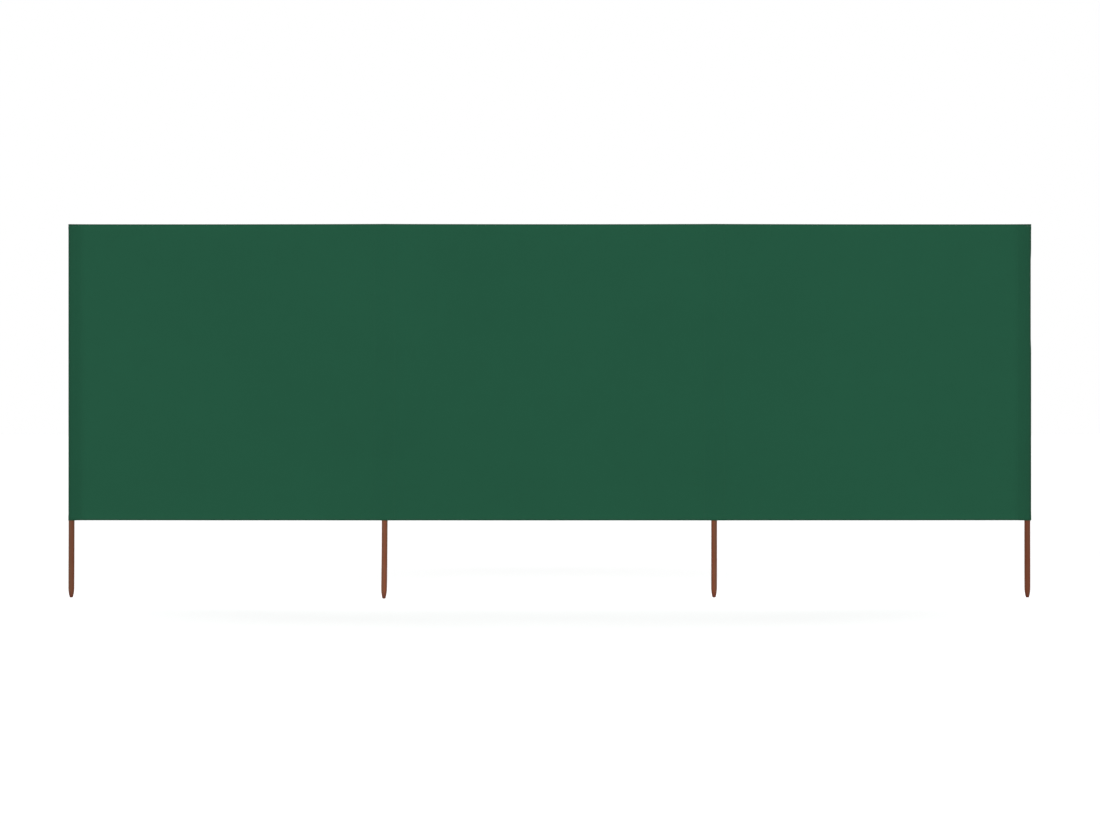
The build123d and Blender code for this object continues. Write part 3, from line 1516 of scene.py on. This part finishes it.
class GrowthBands(Effect):
    """The growth rings of a log, cut by a turned pole, seen as bands down its length."""

    name = "growth_bands"
    inputs = {
        "Place": (VECTOR, None),
        "Heart": (VECTOR, (0.0, 0.0, 0.0)),
        "Ring": (FLOAT, 7 * MM),
    }
    outputs = {"Band": FLOAT}
    # How far the rings waver, and the waves to the metre across and along the grain
    waver_width = 5 * MM
    waver_scale = (60.0, 60.0, 3.0)

    def wire(self, nodes: Nodes, given: dict) -> dict:
        """Rings about the heart, wavering along the grain.

        Args:
            nodes: The group's tree.
            given: The group's inputs by name.

        Returns:
            The bands, from 0 to 1.
        """
        waver = nodes.noise(nodes.scaled(given["Place"], self.waver_scale))
        sway = nodes.math("MULTIPLY_ADD", waver, self.waver_width, -self.waver_width / 2)
        away = nodes.add(
            "ShaderNodeVectorMath", {0: given["Place"], 1: given["Heart"]}, operation="SUBTRACT"
        )
        plan = nodes.scaled(away.outputs[0], (1.0, 1.0, 0.0))
        length = nodes.add("ShaderNodeVectorMath", {0: plan}, operation="LENGTH")
        radius = nodes.math("ADD", length.outputs["Value"], sway)
        turns = nodes.math("MULTIPLY", nodes.math("DIVIDE", radius, given["Ring"]), 2 * math.pi)
        return {"Band": nodes.math("MULTIPLY_ADD", nodes.math("SINE", turns), 0.5, 0.5)}


class WoodGrain(Effect):
    """Pores, fibres and streaks along the grain."""

    name = "wood_grain"
    inputs = {"Place": (VECTOR, None)}
    outputs = {"Pores": FLOAT, "Fibres": FLOAT, "Streaks": FLOAT}
    detail = 3.0
    # For each output its patches to the metre across and along the grain, and its range
    noises = {
        "Pores": (1500.0, 45.0, 0.60, 0.72),
        "Fibres": (1100.0, 7.0, 0.35, 0.65),
        "Streaks": (330.0, 4.0, 0.3, 0.7),
    }

    def wire(self, nodes: Nodes, given: dict) -> dict:
        """Three noises drawn out along the pole, from short and fine to long and broad.

        Args:
            nodes: The group's tree.
            given: The group's inputs by name.

        Returns:
            The pores, the fibres and the streaks, each from 0 to 1.
        """
        found = {}
        for name, (across, along, low, high) in self.noises.items():
            drawn_out = nodes.scaled(given["Place"], (across, across, along))
            noise = nodes.noise(drawn_out, detail=self.detail)
            found[name] = nodes.spread(noise, low, high)
        return found


class FootSoak(Effect):
    """Where the stain soaked deeper, from the end grain of the foot upwards."""

    name = "foot_soak"
    inputs = {"Place": (VECTOR, None), "Foot": (FLOAT, 0.0), "Height": (FLOAT, 30 * MM)}
    outputs = {"Soak": FLOAT}
    # How ragged the edge is, with its patches to the metre, and where it lies, as shares of
    # the height
    ragged_scale = (260.0, 260.0, 30.0)
    raggedness = 0.9
    end = 1.45

    def wire(self, nodes: Nodes, given: dict) -> dict:
        """1 at the foot, to 0 about a given height above it, with a ragged edge.

        Args:
            nodes: The group's tree.
            given: The group's inputs by name.

        Returns:
            How deep the stain soaked in, from 0 to 1.
        """
        z = nodes.add("ShaderNodeSeparateXYZ", {0: given["Place"]}).outputs[2]
        share = nodes.math("DIVIDE", nodes.math("SUBTRACT", z, given["Foot"]), given["Height"])
        ragged = nodes.noise(nodes.scaled(given["Place"], self.ragged_scale))
        edge = nodes.math("MULTIPLY_ADD", ragged, self.raggedness, share)
        return {"Soak": nodes.math("SUBTRACT", self.end, edge, clamp=True)}


def new_material(name: str) -> tuple[bpy.types.Material, Nodes]:
    """Starts a material with an empty tree.

    Args:
        name: The material's name.

    Returns:
        The material and its nodes.
    """
    material = bpy.data.materials.new(name)
    material.use_nodes = True
    material.node_tree.nodes.clear()
    return material, Nodes(material.node_tree)


def tinted(colour: tuple[float, float, float], share: float) -> tuple[float, ...]:
    """A colour made lighter or darker by a share, as four numbers."""
    return (*(part * share for part in colour), 1.0)


@dataclass(frozen=True)
class WovenCloth:
    """Plain-woven polyester, dyed in the piece, dull on both sides.

    Attributes:
        name: The material's name.
        colour: The dyed cloth.
        darkest: Its darkest points, as a share of that.
        lightest: Its lightest points.
        threads: Threads to the metre.
        patches: Uneven patches to the metre.
        weave_shading: How far a thread's crown comes towards the lightest: painted light and shade of
            the weave.
        streak_share: How much of it a streak adds.
        patch_share: How much of it a patch adds.
        roughness: Half way between a streak and the cloth beside it.
        roughness_range: How much rougher the streak is.
        specular: The strength of its gloss.
        sheen: The strength of its bloom.
        sheen_roughness: How soft that is.
        thread_height: How high a thread's crown stands.
        slub_share: How much higher it is on a streak.
        pucker_scale: Puckers to the metre along the stitches.
        pucker_height: How high they stand.
    """

    name: str = "green_cloth"
    colour: tuple[float, float, float] = (0.0118, 0.0826, 0.0429)
    darkest: float = 0.74
    lightest: float = 1.26
    threads: float = 1250.0
    patches: float = 1.6
    weave_shading: float = 0.70
    streak_share: float = 0.16
    patch_share: float = 0.08
    roughness: float = 0.86
    roughness_range: float = 0.08
    specular: float = 0.12
    sheen: float = 0.05
    sheen_roughness: float = 0.5
    thread_height: float = 0.07 * MM
    slub_share: float = 0.35
    pucker_scale: float = 130.0
    pucker_height: float = 0.35 * MM

    def material(self) -> bpy.types.Material:
        """Builds the material on the flat cut's UV map.

        Returns:
            The material.
        """
        material, nodes = new_material(self.name)
        cut = nodes.add("ShaderNodeUVMap", uv_map="flat_cut").outputs[0]
        weave = PlainWeave().use(nodes, Surface=cut, Threads=self.threads)["Height"]
        streaks = ThreadSlubs().use(nodes, Surface=cut)["Streaks"]
        mottle = Mottle().use(nodes, Surface=cut, Patches=self.patches)["Shade"]
        # Lighter thread crowns and darker gaps: painted light and shade of the weave
        light = nodes.math("MULTIPLY", weave, self.weave_shading)
        light = nodes.math("MULTIPLY_ADD", streaks, self.streak_share, light)
        light = nodes.math("MULTIPLY_ADD", mottle, self.patch_share, light, clamp=True)
        ends = tinted(self.colour, self.darkest), tinted(self.colour, self.lightest)
        # Painted light and shade from the cloth's attribute: folds and poles darker, hems lighter
        painted_shading = nodes.add("ShaderNodeAttribute", attribute_name="painted_shading").outputs["Fac"]
        inputs = {0: nodes.mix(light, *ends), "Scale": painted_shading}
        shaded = nodes.add("ShaderNodeVectorMath", inputs, operation="SCALE").outputs[0]
        smoothest = self.roughness - self.roughness_range / 2
        pucker = nodes.add("ShaderNodeAttribute", attribute_name="pucker").outputs["Fac"]
        drawn_up = nodes.math("MULTIPLY", nodes.noise(cut, self.pucker_scale), pucker)
        thread = nodes.math("MULTIPLY_ADD", streaks, self.slub_share, weave)
        puckered = nodes.bump(drawn_up, self.pucker_height)
        nodes.principled(
            Base_Color=shaded,
            Roughness=nodes.math("MULTIPLY_ADD", streaks, self.roughness_range, smoothest),
            Specular_IOR_Level=self.specular,
            Sheen_Weight=self.sheen,
            Sheen_Roughness=self.sheen_roughness,
            Normal=nodes.bump(thread, self.thread_height, puckered),
        )
        return material


@dataclass(frozen=True)
class SewingThread:
    """Twisted polyester thread in the colour of the cloth.

    Attributes:
        name: The material's name.
        colour: The thread, a little lighter than the cloth.
        darkest: Its darkest points, as a share of that.
        lightest: Its lightest points.
        twists: Turns of the twist in one stitch.
        plies: Yarns twisted together.
        patches: Uneven patches to the metre.
        patch_share: How much of the lightness comes from those; the rest is the twist's painted light
            and shade.
        roughness: Between the plies.
        crown_roughness: On them.
        specular: The strength of its gloss.
        ply_height: How high a ply stands.
    """

    name: str = "green_thread"
    colour: tuple[float, float, float] = (0.0150, 0.0920, 0.0470)
    darkest: float = 0.75
    lightest: float = 1.2
    twists: float = 5.0
    plies: int = 2
    patches: float = 8.0
    patch_share: float = 0.4
    roughness: float = 0.70
    crown_roughness: float = 0.58
    specular: float = 0.3
    ply_height: float = 0.05 * MM

    def material(self) -> bpy.types.Material:
        """Builds the material on the UV map round the thread.

        Returns:
            The material.
        """
        material, nodes = new_material(self.name)
        wrap = nodes.add("ShaderNodeUVMap", uv_map="round_thread").outputs[0]
        parts = nodes.add("ShaderNodeSeparateXYZ", {0: wrap}).outputs
        turn = nodes.math("MULTIPLY_ADD", parts[1], self.twists, parts[0])
        ply = nodes.math("SINE", nodes.math("MULTIPLY", turn, 2 * math.pi * self.plies))
        crown = nodes.math("MULTIPLY_ADD", ply, 0.5, 0.5)
        place = nodes.add("ShaderNodeTexCoord").outputs["Object"]
        mottle = Mottle().use(nodes, Surface=place, Patches=self.patches)["Shade"]
        # Lighter ply crowns and darker grooves: painted light and shade of the twist
        light = nodes.math("MULTIPLY", crown, 1 - self.patch_share)
        light = nodes.math("MULTIPLY_ADD", mottle, self.patch_share, light)
        ends = tinted(self.colour, self.darkest), tinted(self.colour, self.lightest)
        smoother = self.crown_roughness - self.roughness
        nodes.principled(
            Base_Color=nodes.mix(light, *ends),
            Roughness=nodes.math("MULTIPLY_ADD", crown, smoother, self.roughness),
            Specular_IOR_Level=self.specular,
            Normal=nodes.bump(crown, self.ply_height),
        )
        return material


@dataclass(frozen=True)
class Timber:
    """What one pole's own length of wood is like.

    Attributes:
        bow: How far its bare end bends along X by its foot.
        heart: Where the log's middle lay, from the pole's axis.
        ring: The width of a growth ring.
        lift: How light it is beside the others.
        red: How much more of it took the stain well than in an even mix.
    """

    bow: float
    heart: tuple[float, float, float]
    ring: float
    lift: float
    red: float


@dataclass(frozen=True)
class StainedWood:
    """A round pole stained red-brown, with the log's growth bands showing through.

    Attributes:
        name: The material's name.
        axis: The pole's axis along X.
        foot: The height of the pole's foot.
        timber: The pole's own wood.
        warm: The wood where it took the stain well.
        olive: The wood where it took it less.
        soaked: The end grain and the pores.
        patches: Patches of olive to the metre.
        roughness: Between the pores.
        specular: The strength of its gloss.
        grain_height: How high the grain stands.
    """

    name: str
    axis: float
    foot: float
    timber: Timber
    warm: tuple[float, float, float] = (0.228, 0.058, 0.025)
    olive: tuple[float, float, float] = (0.158, 0.077, 0.042)
    soaked: tuple[float, float, float] = (0.110, 0.030, 0.020)
    patches: float = 9.0
    roughness: float = 0.56
    specular: float = 0.07
    grain_height: float = 0.12 * MM

    def material(self) -> bpy.types.Material:
        """Builds the material on the piece's own place, centred on the pole.

        Returns:
            The material.
        """
        material, nodes = new_material(self.name)
        place = nodes.add("ShaderNodeTexCoord").outputs["Object"]
        grain = nodes.moved(place, self.axis)
        timber = self.timber
        bands = GrowthBands().use(nodes, Place=grain, Heart=timber.heart, Ring=timber.ring)["Band"]
        wood = WoodGrain().use(nodes, Place=grain)
        soak = FootSoak().use(nodes, Place=grain, Foot=self.foot)["Soak"]
        mottle = Mottle().use(nodes, Surface=grain, Patches=self.patches)["Shade"]
        light = timber.lift
        taken = nodes.math("ADD", bands, timber.red, clamp=True)
        stained = nodes.mix(taken, tinted(self.olive, light), tinted(self.warm, light))
        # Each layer's mask, how much of it shows, its colour, and how light that is
        layers = (
            (wood["Streaks"], 0.5, self.warm, 0.72 * light),
            (mottle, 0.25, self.olive, 1.3 * light),
            (wood["Fibres"], 0.34, self.soaked, 1.1),
            (wood["Pores"], 0.55, self.soaked, 0.7),
            (soak, 0.75, self.soaked, 1.0),
        )
        for mask, share, colour, lightness in layers:
            shown = nodes.math("MULTIPLY", mask, share)
            stained = nodes.mix(shown, stained, tinted(colour, lightness))
        # The pores and the soaked end grain are rougher than the rest
        rough = nodes.math("MULTIPLY_ADD", wood["Pores"], 0.2, self.roughness)
        rough = nodes.math("MULTIPLY_ADD", soak, 0.15, rough, clamp=True)
        height = nodes.math("MULTIPLY", bands, 0.3)
        # The grain's heights, as shares of its whole height: pores and fibres lie below it
        for kind, share in (("Streaks", 0.4), ("Fibres", -0.4), ("Pores", -0.6)):
            height = nodes.math("MULTIPLY_ADD", wood[kind], share, height)
        nodes.principled(
            Base_Color=stained,
            Roughness=rough,
            Specular_IOR_Level=self.specular,
            Normal=nodes.bump(height, self.grain_height),
        )
        return material


@dataclass
class TurnedPole:
    """A turned wooden pole: a long rounded point, a straight stem and a broken top edge.

    Attributes:
        number: The pole's number.
        layout: Where the poles are.
        timber: The pole's own wood.
        point_length: The length of the point.
        point_end: The radius that the point comes down to.
        point_round: The rounding of the point's end.
        top_round: The rounding of the top edge.
        sides: Faces round the pole.
        nose_rings: Rings round the end of the point.
        point_rings: Rings up the rest of it.
        stem_rings: Rings up the stem.
        top_rings: Rings over the top edge.
        bend: How the bare end bends towards its foot, as a power of the way down.
        uneven_size: The size of the unevenness that sanding leaves.
        uneven_depth: How deep that is.
        smooth_angle: Edges that turn by more than this stay sharp, in degrees.
    """

    number: int
    layout: Layout
    timber: Timber
    point_length: float = 40 * MM
    point_end: float = 6 * MM
    point_round: float = 3 * MM
    top_round: float = 1.5 * MM
    sides: int = 64
    nose_rings: int = 7
    point_rings: int = 11
    stem_rings: int = 28
    top_rings: int = 4
    bend: float = 1.6
    uneven_size: float = 45 * MM
    uneven_depth: float = 0.25 * MM
    smooth_angle: float = 30.0

    def profile(self) -> list[tuple[float, float]]:
        """Works out the pole's rings from foot to top.

        Returns:
            Their heights above the foot and their radii.
        """
        radius = self.layout.pole_radius
        index = self.number - 1
        length = self.layout.pole_head[index] - self.layout.pole_foot[index]
        narrowing = radius - self.point_end
        sweep = (narrowing**2 + self.point_length**2) / (2 * narrowing)
        centre = radius - sweep
        inner = sweep - self.point_round
        drop = self.point_length - self.point_round
        nose = math.sqrt(inner**2 - drop**2) + centre
        meet = math.atan2(-drop, nose - centre)
        rings = []
        for angle in np.linspace(-math.pi / 2, meet, self.nose_rings):
            height = self.point_round * (1 + math.sin(angle))
            rings.append((height, nose + self.point_round * math.cos(angle)))
        for angle in np.linspace(meet, 0, self.point_rings + 1)[1:]:
            height = self.point_length + sweep * math.sin(angle)
            rings.append((height, centre + sweep * math.cos(angle)))
        stem_top = length - self.top_round
        stem = np.linspace(self.point_length, stem_top, self.stem_rings + 1)[1:]
        rings.extend((height, radius) for height in stem)
        for angle in np.linspace(0, math.pi / 2, self.top_rings + 1)[1:]:
            height = length - self.top_round * (1 - math.sin(angle))
            rings.append((height, radius - self.top_round * (1 - math.cos(angle))))
        return rings

    def lean(self, z: float) -> float:
        """How far the bare end stands off the pole's axis along X at a height."""
        bare = self.layout.cloth_bottom
        return self.timber.bow * max(0.0, (bare - z) / bare) ** self.bend

    def build(self, material: bpy.types.Material) -> bpy.types.Object:
        """Extrudes the pole ring by ring from its foot.

        Args:
            material: The finish.

        Returns:
            The finished piece.
        """
        index = self.number - 1
        x = self.layout.pole_x[index]
        foot = self.layout.pole_foot[index]
        rings = self.profile()
        bpy.ops.object.select_all(action="DESELECT")
        bpy.ops.mesh.primitive_circle_add(
            vertices=self.sides,
            radius=rings[0][1],
            fill_type="NGON",
            location=(x + self.lean(foot), 0, foot),
        )
        pole = bpy.context.object
        pole.name = f"turned_pole_{self.number}"
        pole.data.name = pole.name
        bpy.ops.object.transform_apply(location=True, rotation=False, scale=False)
        bpy.ops.object.mode_set(mode="EDIT")
        bpy.ops.mesh.select_all(action="SELECT")
        for (low, narrow), (high, wide) in pairwise(rings):
            step = self.lean(foot + high) - self.lean(foot + low)
            bpy.ops.mesh.extrude_region_move(
                TRANSFORM_OT_translate={"value": (step, 0, high - low)}
            )
            grown = wide / narrow
            bpy.ops.transform.resize(
                value=(grown, grown, 1),
                center_override=(x + self.lean(foot + high), 0, foot + high),
            )
        bpy.ops.mesh.select_all(action="SELECT")
        bpy.ops.mesh.normals_make_consistent(inside=False)
        bpy.ops.object.mode_set(mode="OBJECT")
        self.roughen(pole)
        finish_shape(pole, self.smooth_angle)
        pole.data.materials.append(material)
        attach(pole, BODY)
        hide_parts(f"pole_{self.number}")
        report(pole)
        return pole

    def roughen(self, pole: bpy.types.Object) -> None:
        """Gives the pole the small unevenness of sanded wood.

        Args:
            pole: The pole.
        """
        uneven = bpy.data.textures.new(f"uneven_{self.number}", "CLOUDS")
        uneven.noise_scale = self.uneven_size
        push = pole.modifiers.new("uneven", "DISPLACE")
        push.texture = uneven
        push.strength = self.uneven_depth
        push.mid_level = 0.5


@dataclass(frozen=True)
class Lamp:
    """A soft light from a long way off.

    Attributes:
        name: The lamp's name.
        strength: Its strength.
        azimuth: The way round that it shines from, from -Y, in degrees.
        elevation: How high it shines from, in degrees.
        softness: How wide it looks from the object, in degrees.
    """

    name: str
    strength: float
    azimuth: float
    elevation: float
    softness: float = 35.0

    def hang(self, place: tuple[float, float, float]) -> None:
        """Hangs the lamp.

        Args:
            place: Where it hangs, which makes no difference to its light.
        """
        light = bpy.data.lights.new(self.name, "SUN")
        light.energy = self.strength
        light.angle = math.radians(self.softness)
        lamp = bpy.data.objects.new(self.name, light)
        tilt = math.radians(90 - self.elevation)
        lamp.rotation_euler = (tilt, 0, math.radians(self.azimuth))
        lamp.location = place
        bpy.context.scene.collection.objects.link(lamp)


@dataclass(frozen=True)
class Studio:
    """A pale floor under plain soft light, and the camera where the photograph was taken from.

    Attributes:
        layout: Where the poles and the cloth are.
        floor_z: The floor's height, under the lowest foot.
        floor_size: The floor's side.
        floor_patches: Faint patches to the metre on the floor.
        glow: How much the floor adds to the white that it shows, near the object.
        glow_loss: How much less it adds a long way off.
        glow_start: From the object's middle, the distance where it starts to add less.
        glow_end: The distance where it adds least.
        lamps: The lights.
        lamp_height: The height where they hang.
        ambient: The light of the white room.
        lens: The camera's focal length, in millimetres.
        sensor: The width of its picture, in millimetres.
        far: How far it sees.
    """

    layout: Layout
    floor_z: float
    floor_size: float = 120.0
    floor_patches: float = 3.0
    glow: float = 0.56
    glow_loss: float = 0.19
    glow_start: float = 1.0
    glow_end: float = 4.0
    lamps: tuple[Lamp, ...] = (
        Lamp("front_left", 1.27, -32, 22),
        Lamp("front_right", 1.27, 32, 22),
        Lamp("rear_left", 0.85, -145, 35),
        Lamp("rear_right", 0.85, 145, 35),
    )
    lamp_height: float = 4.0
    ambient: float = 0.2
    lens: float = 70.0
    sensor: float = 36.0
    far: float = 200.0

    def seen_white(self, nodes: Nodes) -> bpy.types.NodeSocket:
        """Tells the rays that see the white studio from those that are lit by it.

        Args:
            nodes: The tree of the floor or the room.

        Returns:
            1 for rays from the camera, in reflections and through clear things, else 0.
        """
        rays = nodes.add("ShaderNodeLightPath").outputs
        seen = nodes.math("MAXIMUM", rays["Is Camera Ray"], rays["Is Glossy Ray"])
        return nodes.math("MAXIMUM", seen, rays["Is Transmission Ray"])

    def paint_room(self) -> None:
        """Makes the room white where it's seen, and dimmer as a light."""
        bpy.context.scene.view_settings.view_transform = "Standard"
        world = bpy.data.worlds.new("white_room")
        bpy.context.scene.world = world
        world.use_nodes = True
        world.node_tree.nodes.clear()
        nodes = Nodes(world.node_tree)
        seen = self.seen_white(nodes)
        level = nodes.math("MULTIPLY_ADD", seen, 1.0 - self.ambient, self.ambient)
        room = nodes.add("ShaderNodeBackground", {"Color": (1, 1, 1, 1), "Strength": level})
        output = nodes.add("ShaderNodeOutputWorld")
        nodes.tree.links.new(room.outputs[0], output.inputs["Surface"])

    def lay_floor(self) -> None:
        """Lays a pale floor that fades into the white room."""
        material, nodes = new_material("pale_floor")
        place = nodes.add("ShaderNodeTexCoord").outputs["Object"]
        middle = (self.layout.pole_x[0] + self.layout.pole_x[-1]) / 2
        inputs = {0: nodes.moved(place, middle)}
        away = nodes.add("ShaderNodeVectorMath", inputs, operation="LENGTH").outputs["Value"]
        far_off = nodes.spread(away, self.glow_start, self.glow_end)
        glow = nodes.math("MULTIPLY_ADD", far_off, -self.glow_loss, self.glow)
        paint = nodes.noise(place, self.floor_patches)
        pale = nodes.mix(paint, (0.80, 0.80, 0.80, 1), (0.84, 0.84, 0.84, 1))
        nodes.principled(
            Base_Color=pale,
            Roughness=0.9,
            Specular_IOR_Level=0.1,
            Emission_Color=(1, 1, 1, 1),
            Emission_Strength=nodes.math("MULTIPLY", glow, self.seen_white(nodes)),
        )
        bpy.ops.object.select_all(action="DESELECT")
        bpy.ops.mesh.primitive_plane_add(size=self.floor_size, location=(0, 0, 0))
        floor = bpy.context.object
        floor.name = "studio_floor"
        bpy.ops.transform.translate(value=(middle, 0, self.floor_z))
        bpy.ops.object.transform_apply(location=True, rotation=False, scale=False)
        floor.data.materials.append(material)

    def hang_lights(self) -> None:
        """Hangs a pair of soft lights in front and a weaker pair behind."""
        for lamp in self.lamps:
            lamp.hang((self.layout.pole_x[1], 0, self.lamp_height))

    def set_camera(self) -> None:
        """Stands the camera square to the cloth, as far off as the photograph's scale says."""
        data = bpy.data.cameras.new("camera")
        data.lens = self.lens
        data.sensor_width = self.sensor
        data.clip_end = self.far
        camera = bpy.data.objects.new("camera", data)
        right = (PHOTO_WIDTH / 2 - PHOTO_POLE_1_COLUMN) * METRES_PER_PIXEL
        down = (PHOTO_HEIGHT / 2 - PHOTO_CLOTH_TOP_ROW) * METRES_PER_PIXEL
        away = PHOTO_WIDTH * METRES_PER_PIXEL * self.lens / self.sensor
        camera.location = (right, -away, self.layout.cloth_top - down)
        camera.rotation_euler = (math.pi / 2, 0, 0)
        bpy.context.scene.collection.objects.link(camera)
        bpy.context.scene.camera = camera


@dataclass
class Windbreak:
    """The whole object: the sheet, its pocket strips, its stitching and its poles.

    Attributes:
        layout: Where the poles and the cloth are.
        stock: The cloth.
        thread: The thread.
    """

    layout: Layout
    stock: ClothStock = field(default_factory=ClothStock)
    thread: Thread = field(default_factory=Thread)

    def build(self) -> None:
        """Builds every piece in order: poles, sheet, pocket strips, each with its stitching."""
        poles = self.turn_poles()
        shift = TautPanel(self.layout).pull()
        cloth = WovenCloth().material()
        thread = SewingThread().material()
        self.sew_sheet(shift, cloth, thread)
        for number in MIDDLE_POLES:
            self.sew_pocket(number, shift, cloth, thread)

    def turn_poles(self) -> list[bpy.types.Object]:
        """Makes the four poles, each from its own length of wood.

        Returns:
            The finished pieces, in order.
        """
        timbers = (
            Timber(bow=-1.1 * MM, heart=(0.030, 0.040, 0.0), ring=9 * MM, lift=0.93, red=-0.3),
            Timber(bow=-3.1 * MM, heart=(-0.034, 0.012, 0.0), ring=13 * MM, lift=1.18, red=-0.2),
            Timber(bow=-0.4 * MM, heart=(0.020, -0.045, 0.0), ring=10 * MM, lift=1.03, red=0.0),
            Timber(bow=0.5 * MM, heart=(-0.026, 0.036, 0.0), ring=8 * MM, lift=0.80, red=0.3),
        )
        poles = []
        for number, timber in zip(POLES, timbers):
            axis = self.layout.pole_x[number - 1]
            foot = self.layout.pole_foot[number - 1]
            wood = StainedWood(f"stained_wood_{number}", axis, foot, timber)
            poles.append(TurnedPole(number, self.layout, timber).build(wood.material()))
        return poles

    def sew_sheet(
        self,
        shift: Shift,
        cloth: bpy.types.Material,
        thread: bpy.types.Material,
    ) -> None:
        """Makes the long sheet with its hems and end sleeves, and what is sewn through it alone.

        Args:
            shift: How the taut cloth moves.
            cloth: The cloth's finish.
            thread: The thread's finish.
        """
        sheet = MainSheet("windbreak_cloth", self.layout, self.stock, shift)
        piece = sheet.sew(cloth)
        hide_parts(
            *(f"cloth_bay_{number}" for number in BAYS),
            *(f"{edge}_hem_{number}" for edge in ("top", "bottom") for number in BAYS),
            "end_sleeve_1",
            "end_sleeve_4",
        )
        hems = zip(("bottom_hem_stitching", "top_hem_stitching"), sheet.hem_stitches)
        sewn = [self.stitch_hem(sheet, name, z).sew(thread) for name, z in hems]
        sewn += [self.stitch_sleeve(sheet, end).sew(thread) for end in End]
        sewn += [self.stitch_front(sheet, number).sew(thread) for number in MIDDLE_POLES]
        sheet.flat_size

    def sew_pocket(
        self,
        number: int,
        shift: Shift,
        cloth: bpy.types.Material,
        thread: bpy.types.Material,
    ) -> None:
        """Makes the pocket strip behind a middle pole with its stitching.

        Args:
            number: The pole's number.
            shift: How the taut cloth moves.
            cloth: The cloth's finish.
            thread: The thread's finish.
        """
        strip = PocketStrip(f"pocket_strip_{number}", self.layout, self.stock, shift, pole=number)
        piece = strip.sew(cloth)
        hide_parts(f"pole_pocket_{number}")
        rows = Stitching(f"pocket_stitching_{number}", self.thread)
        length = strip.path.along[-1]
        for seam in (self.layout.seam_allowance, length - self.layout.seam_allowance):
            rows.add_row(strip, np.array(seam), self.seam_heights(), Face.OUTER)
        across = self.paces(0.0, length)
        for z in (*strip.hem_stitches, self.layout.closing_row):
            rows.add_row(strip, across, np.array(z), Face.OUTER)
        strip.flat_size
        rows.sew(thread)

    def paces(self, start: float, end: float) -> np.ndarray:
        """The middles of the stitches between two places on a seam."""
        pitch = self.thread.pitch
        return np.arange(start + pitch * self.thread.lead, end - pitch / 2, pitch)

    def seam_heights(self) -> np.ndarray:
        """The heights of the stitches of an upright seam."""
        return self.paces(self.layout.cloth_bottom, self.layout.cloth_top)

    def stitch_hem(self, sheet: MainSheet, name: str, z: float) -> Stitching:
        """The row that holds one hem of the sheet, as it shows from the front and from behind.

        Args:
            sheet: The sheet.
            name: The piece's name.
            z: The row's height.

        Returns:
            The stitching, ready to be sewn.
        """
        rows = Stitching(name, self.thread)
        along = self.paces(0.0, sheet.path.along[-1])
        rows.add_row(sheet, along, np.array(z), Face.OUTER)
        x = sheet.path.read(along, sheet.path.open_points)[:, 0]
        in_bay = along[self.layout.from_pole(x) > self.layout.sleeve_reach]
        rows.add_row(sheet, in_bay, np.array(z), Face.INNER, self.stock.ply_pitch)
        return rows

    def stitch_sleeve(self, sheet: MainSheet, end: End) -> Stitching:
        """The seam of an end sleeve on both of its outer plies, and the row that shuts its top.

        Args:
            sheet: The sheet.
            end: The end that the sleeve is at.

        Returns:
            The stitching, ready to be sewn.
        """
        rows = Stitching(f"sleeve_stitching_{end.value}", self.thread)
        behind = self.layout.seam_allowance
        front = behind + sheet.sleeve_girth
        whole = front + self.layout.seam_allowance
        length = sheet.path.along[-1]
        for place in (behind, front):
            along = place if end is End.LEFT else length - place
            rows.add_row(sheet, np.array(along), self.seam_heights(), Face.OUTER)
        across = self.paces(0.0, whole)
        along = across if end is End.LEFT else length - across
        rows.add_row(sheet, along, np.array(self.layout.closing_row), Face.OUTER)
        return rows

    def stitch_front(self, sheet: MainSheet, number: int) -> Stitching:
        """The seams of a middle pocket as they show on the front of the sheet.

        Args:
            sheet: The sheet.
            number: The pole's number.

        Returns:
            The stitching, ready to be sewn.
        """
        rows = Stitching(f"front_stitching_{number}", self.thread)
        x = self.layout.pole_x[number - 1]
        for seam in (x - self.layout.seam_reach, x + self.layout.seam_reach):
            rows.add_row(sheet, np.array(sheet.along_at(seam)), self.seam_heights(), Face.OUTER)
        reach = self.layout.sleeve_reach
        across = self.paces(sheet.along_at(x - reach), sheet.along_at(x + reach))
        rows.add_row(sheet, across, np.array(self.layout.closing_row), Face.OUTER)
        return rows


def main() -> None:
    """Builds the windbreak, then the studio round it."""
    layout = Layout.from_frame()
    log.info("frame: %s", layout)
    Windbreak(layout).build()
    studio = Studio(layout, min(layout.pole_foot))
    studio.lay_floor()
    studio.paint_room()
    studio.hang_lights()
    studio.set_camera()


if __name__ == "__main__":
    logging.basicConfig(level=logging.INFO, format="%(message)s")
    main()
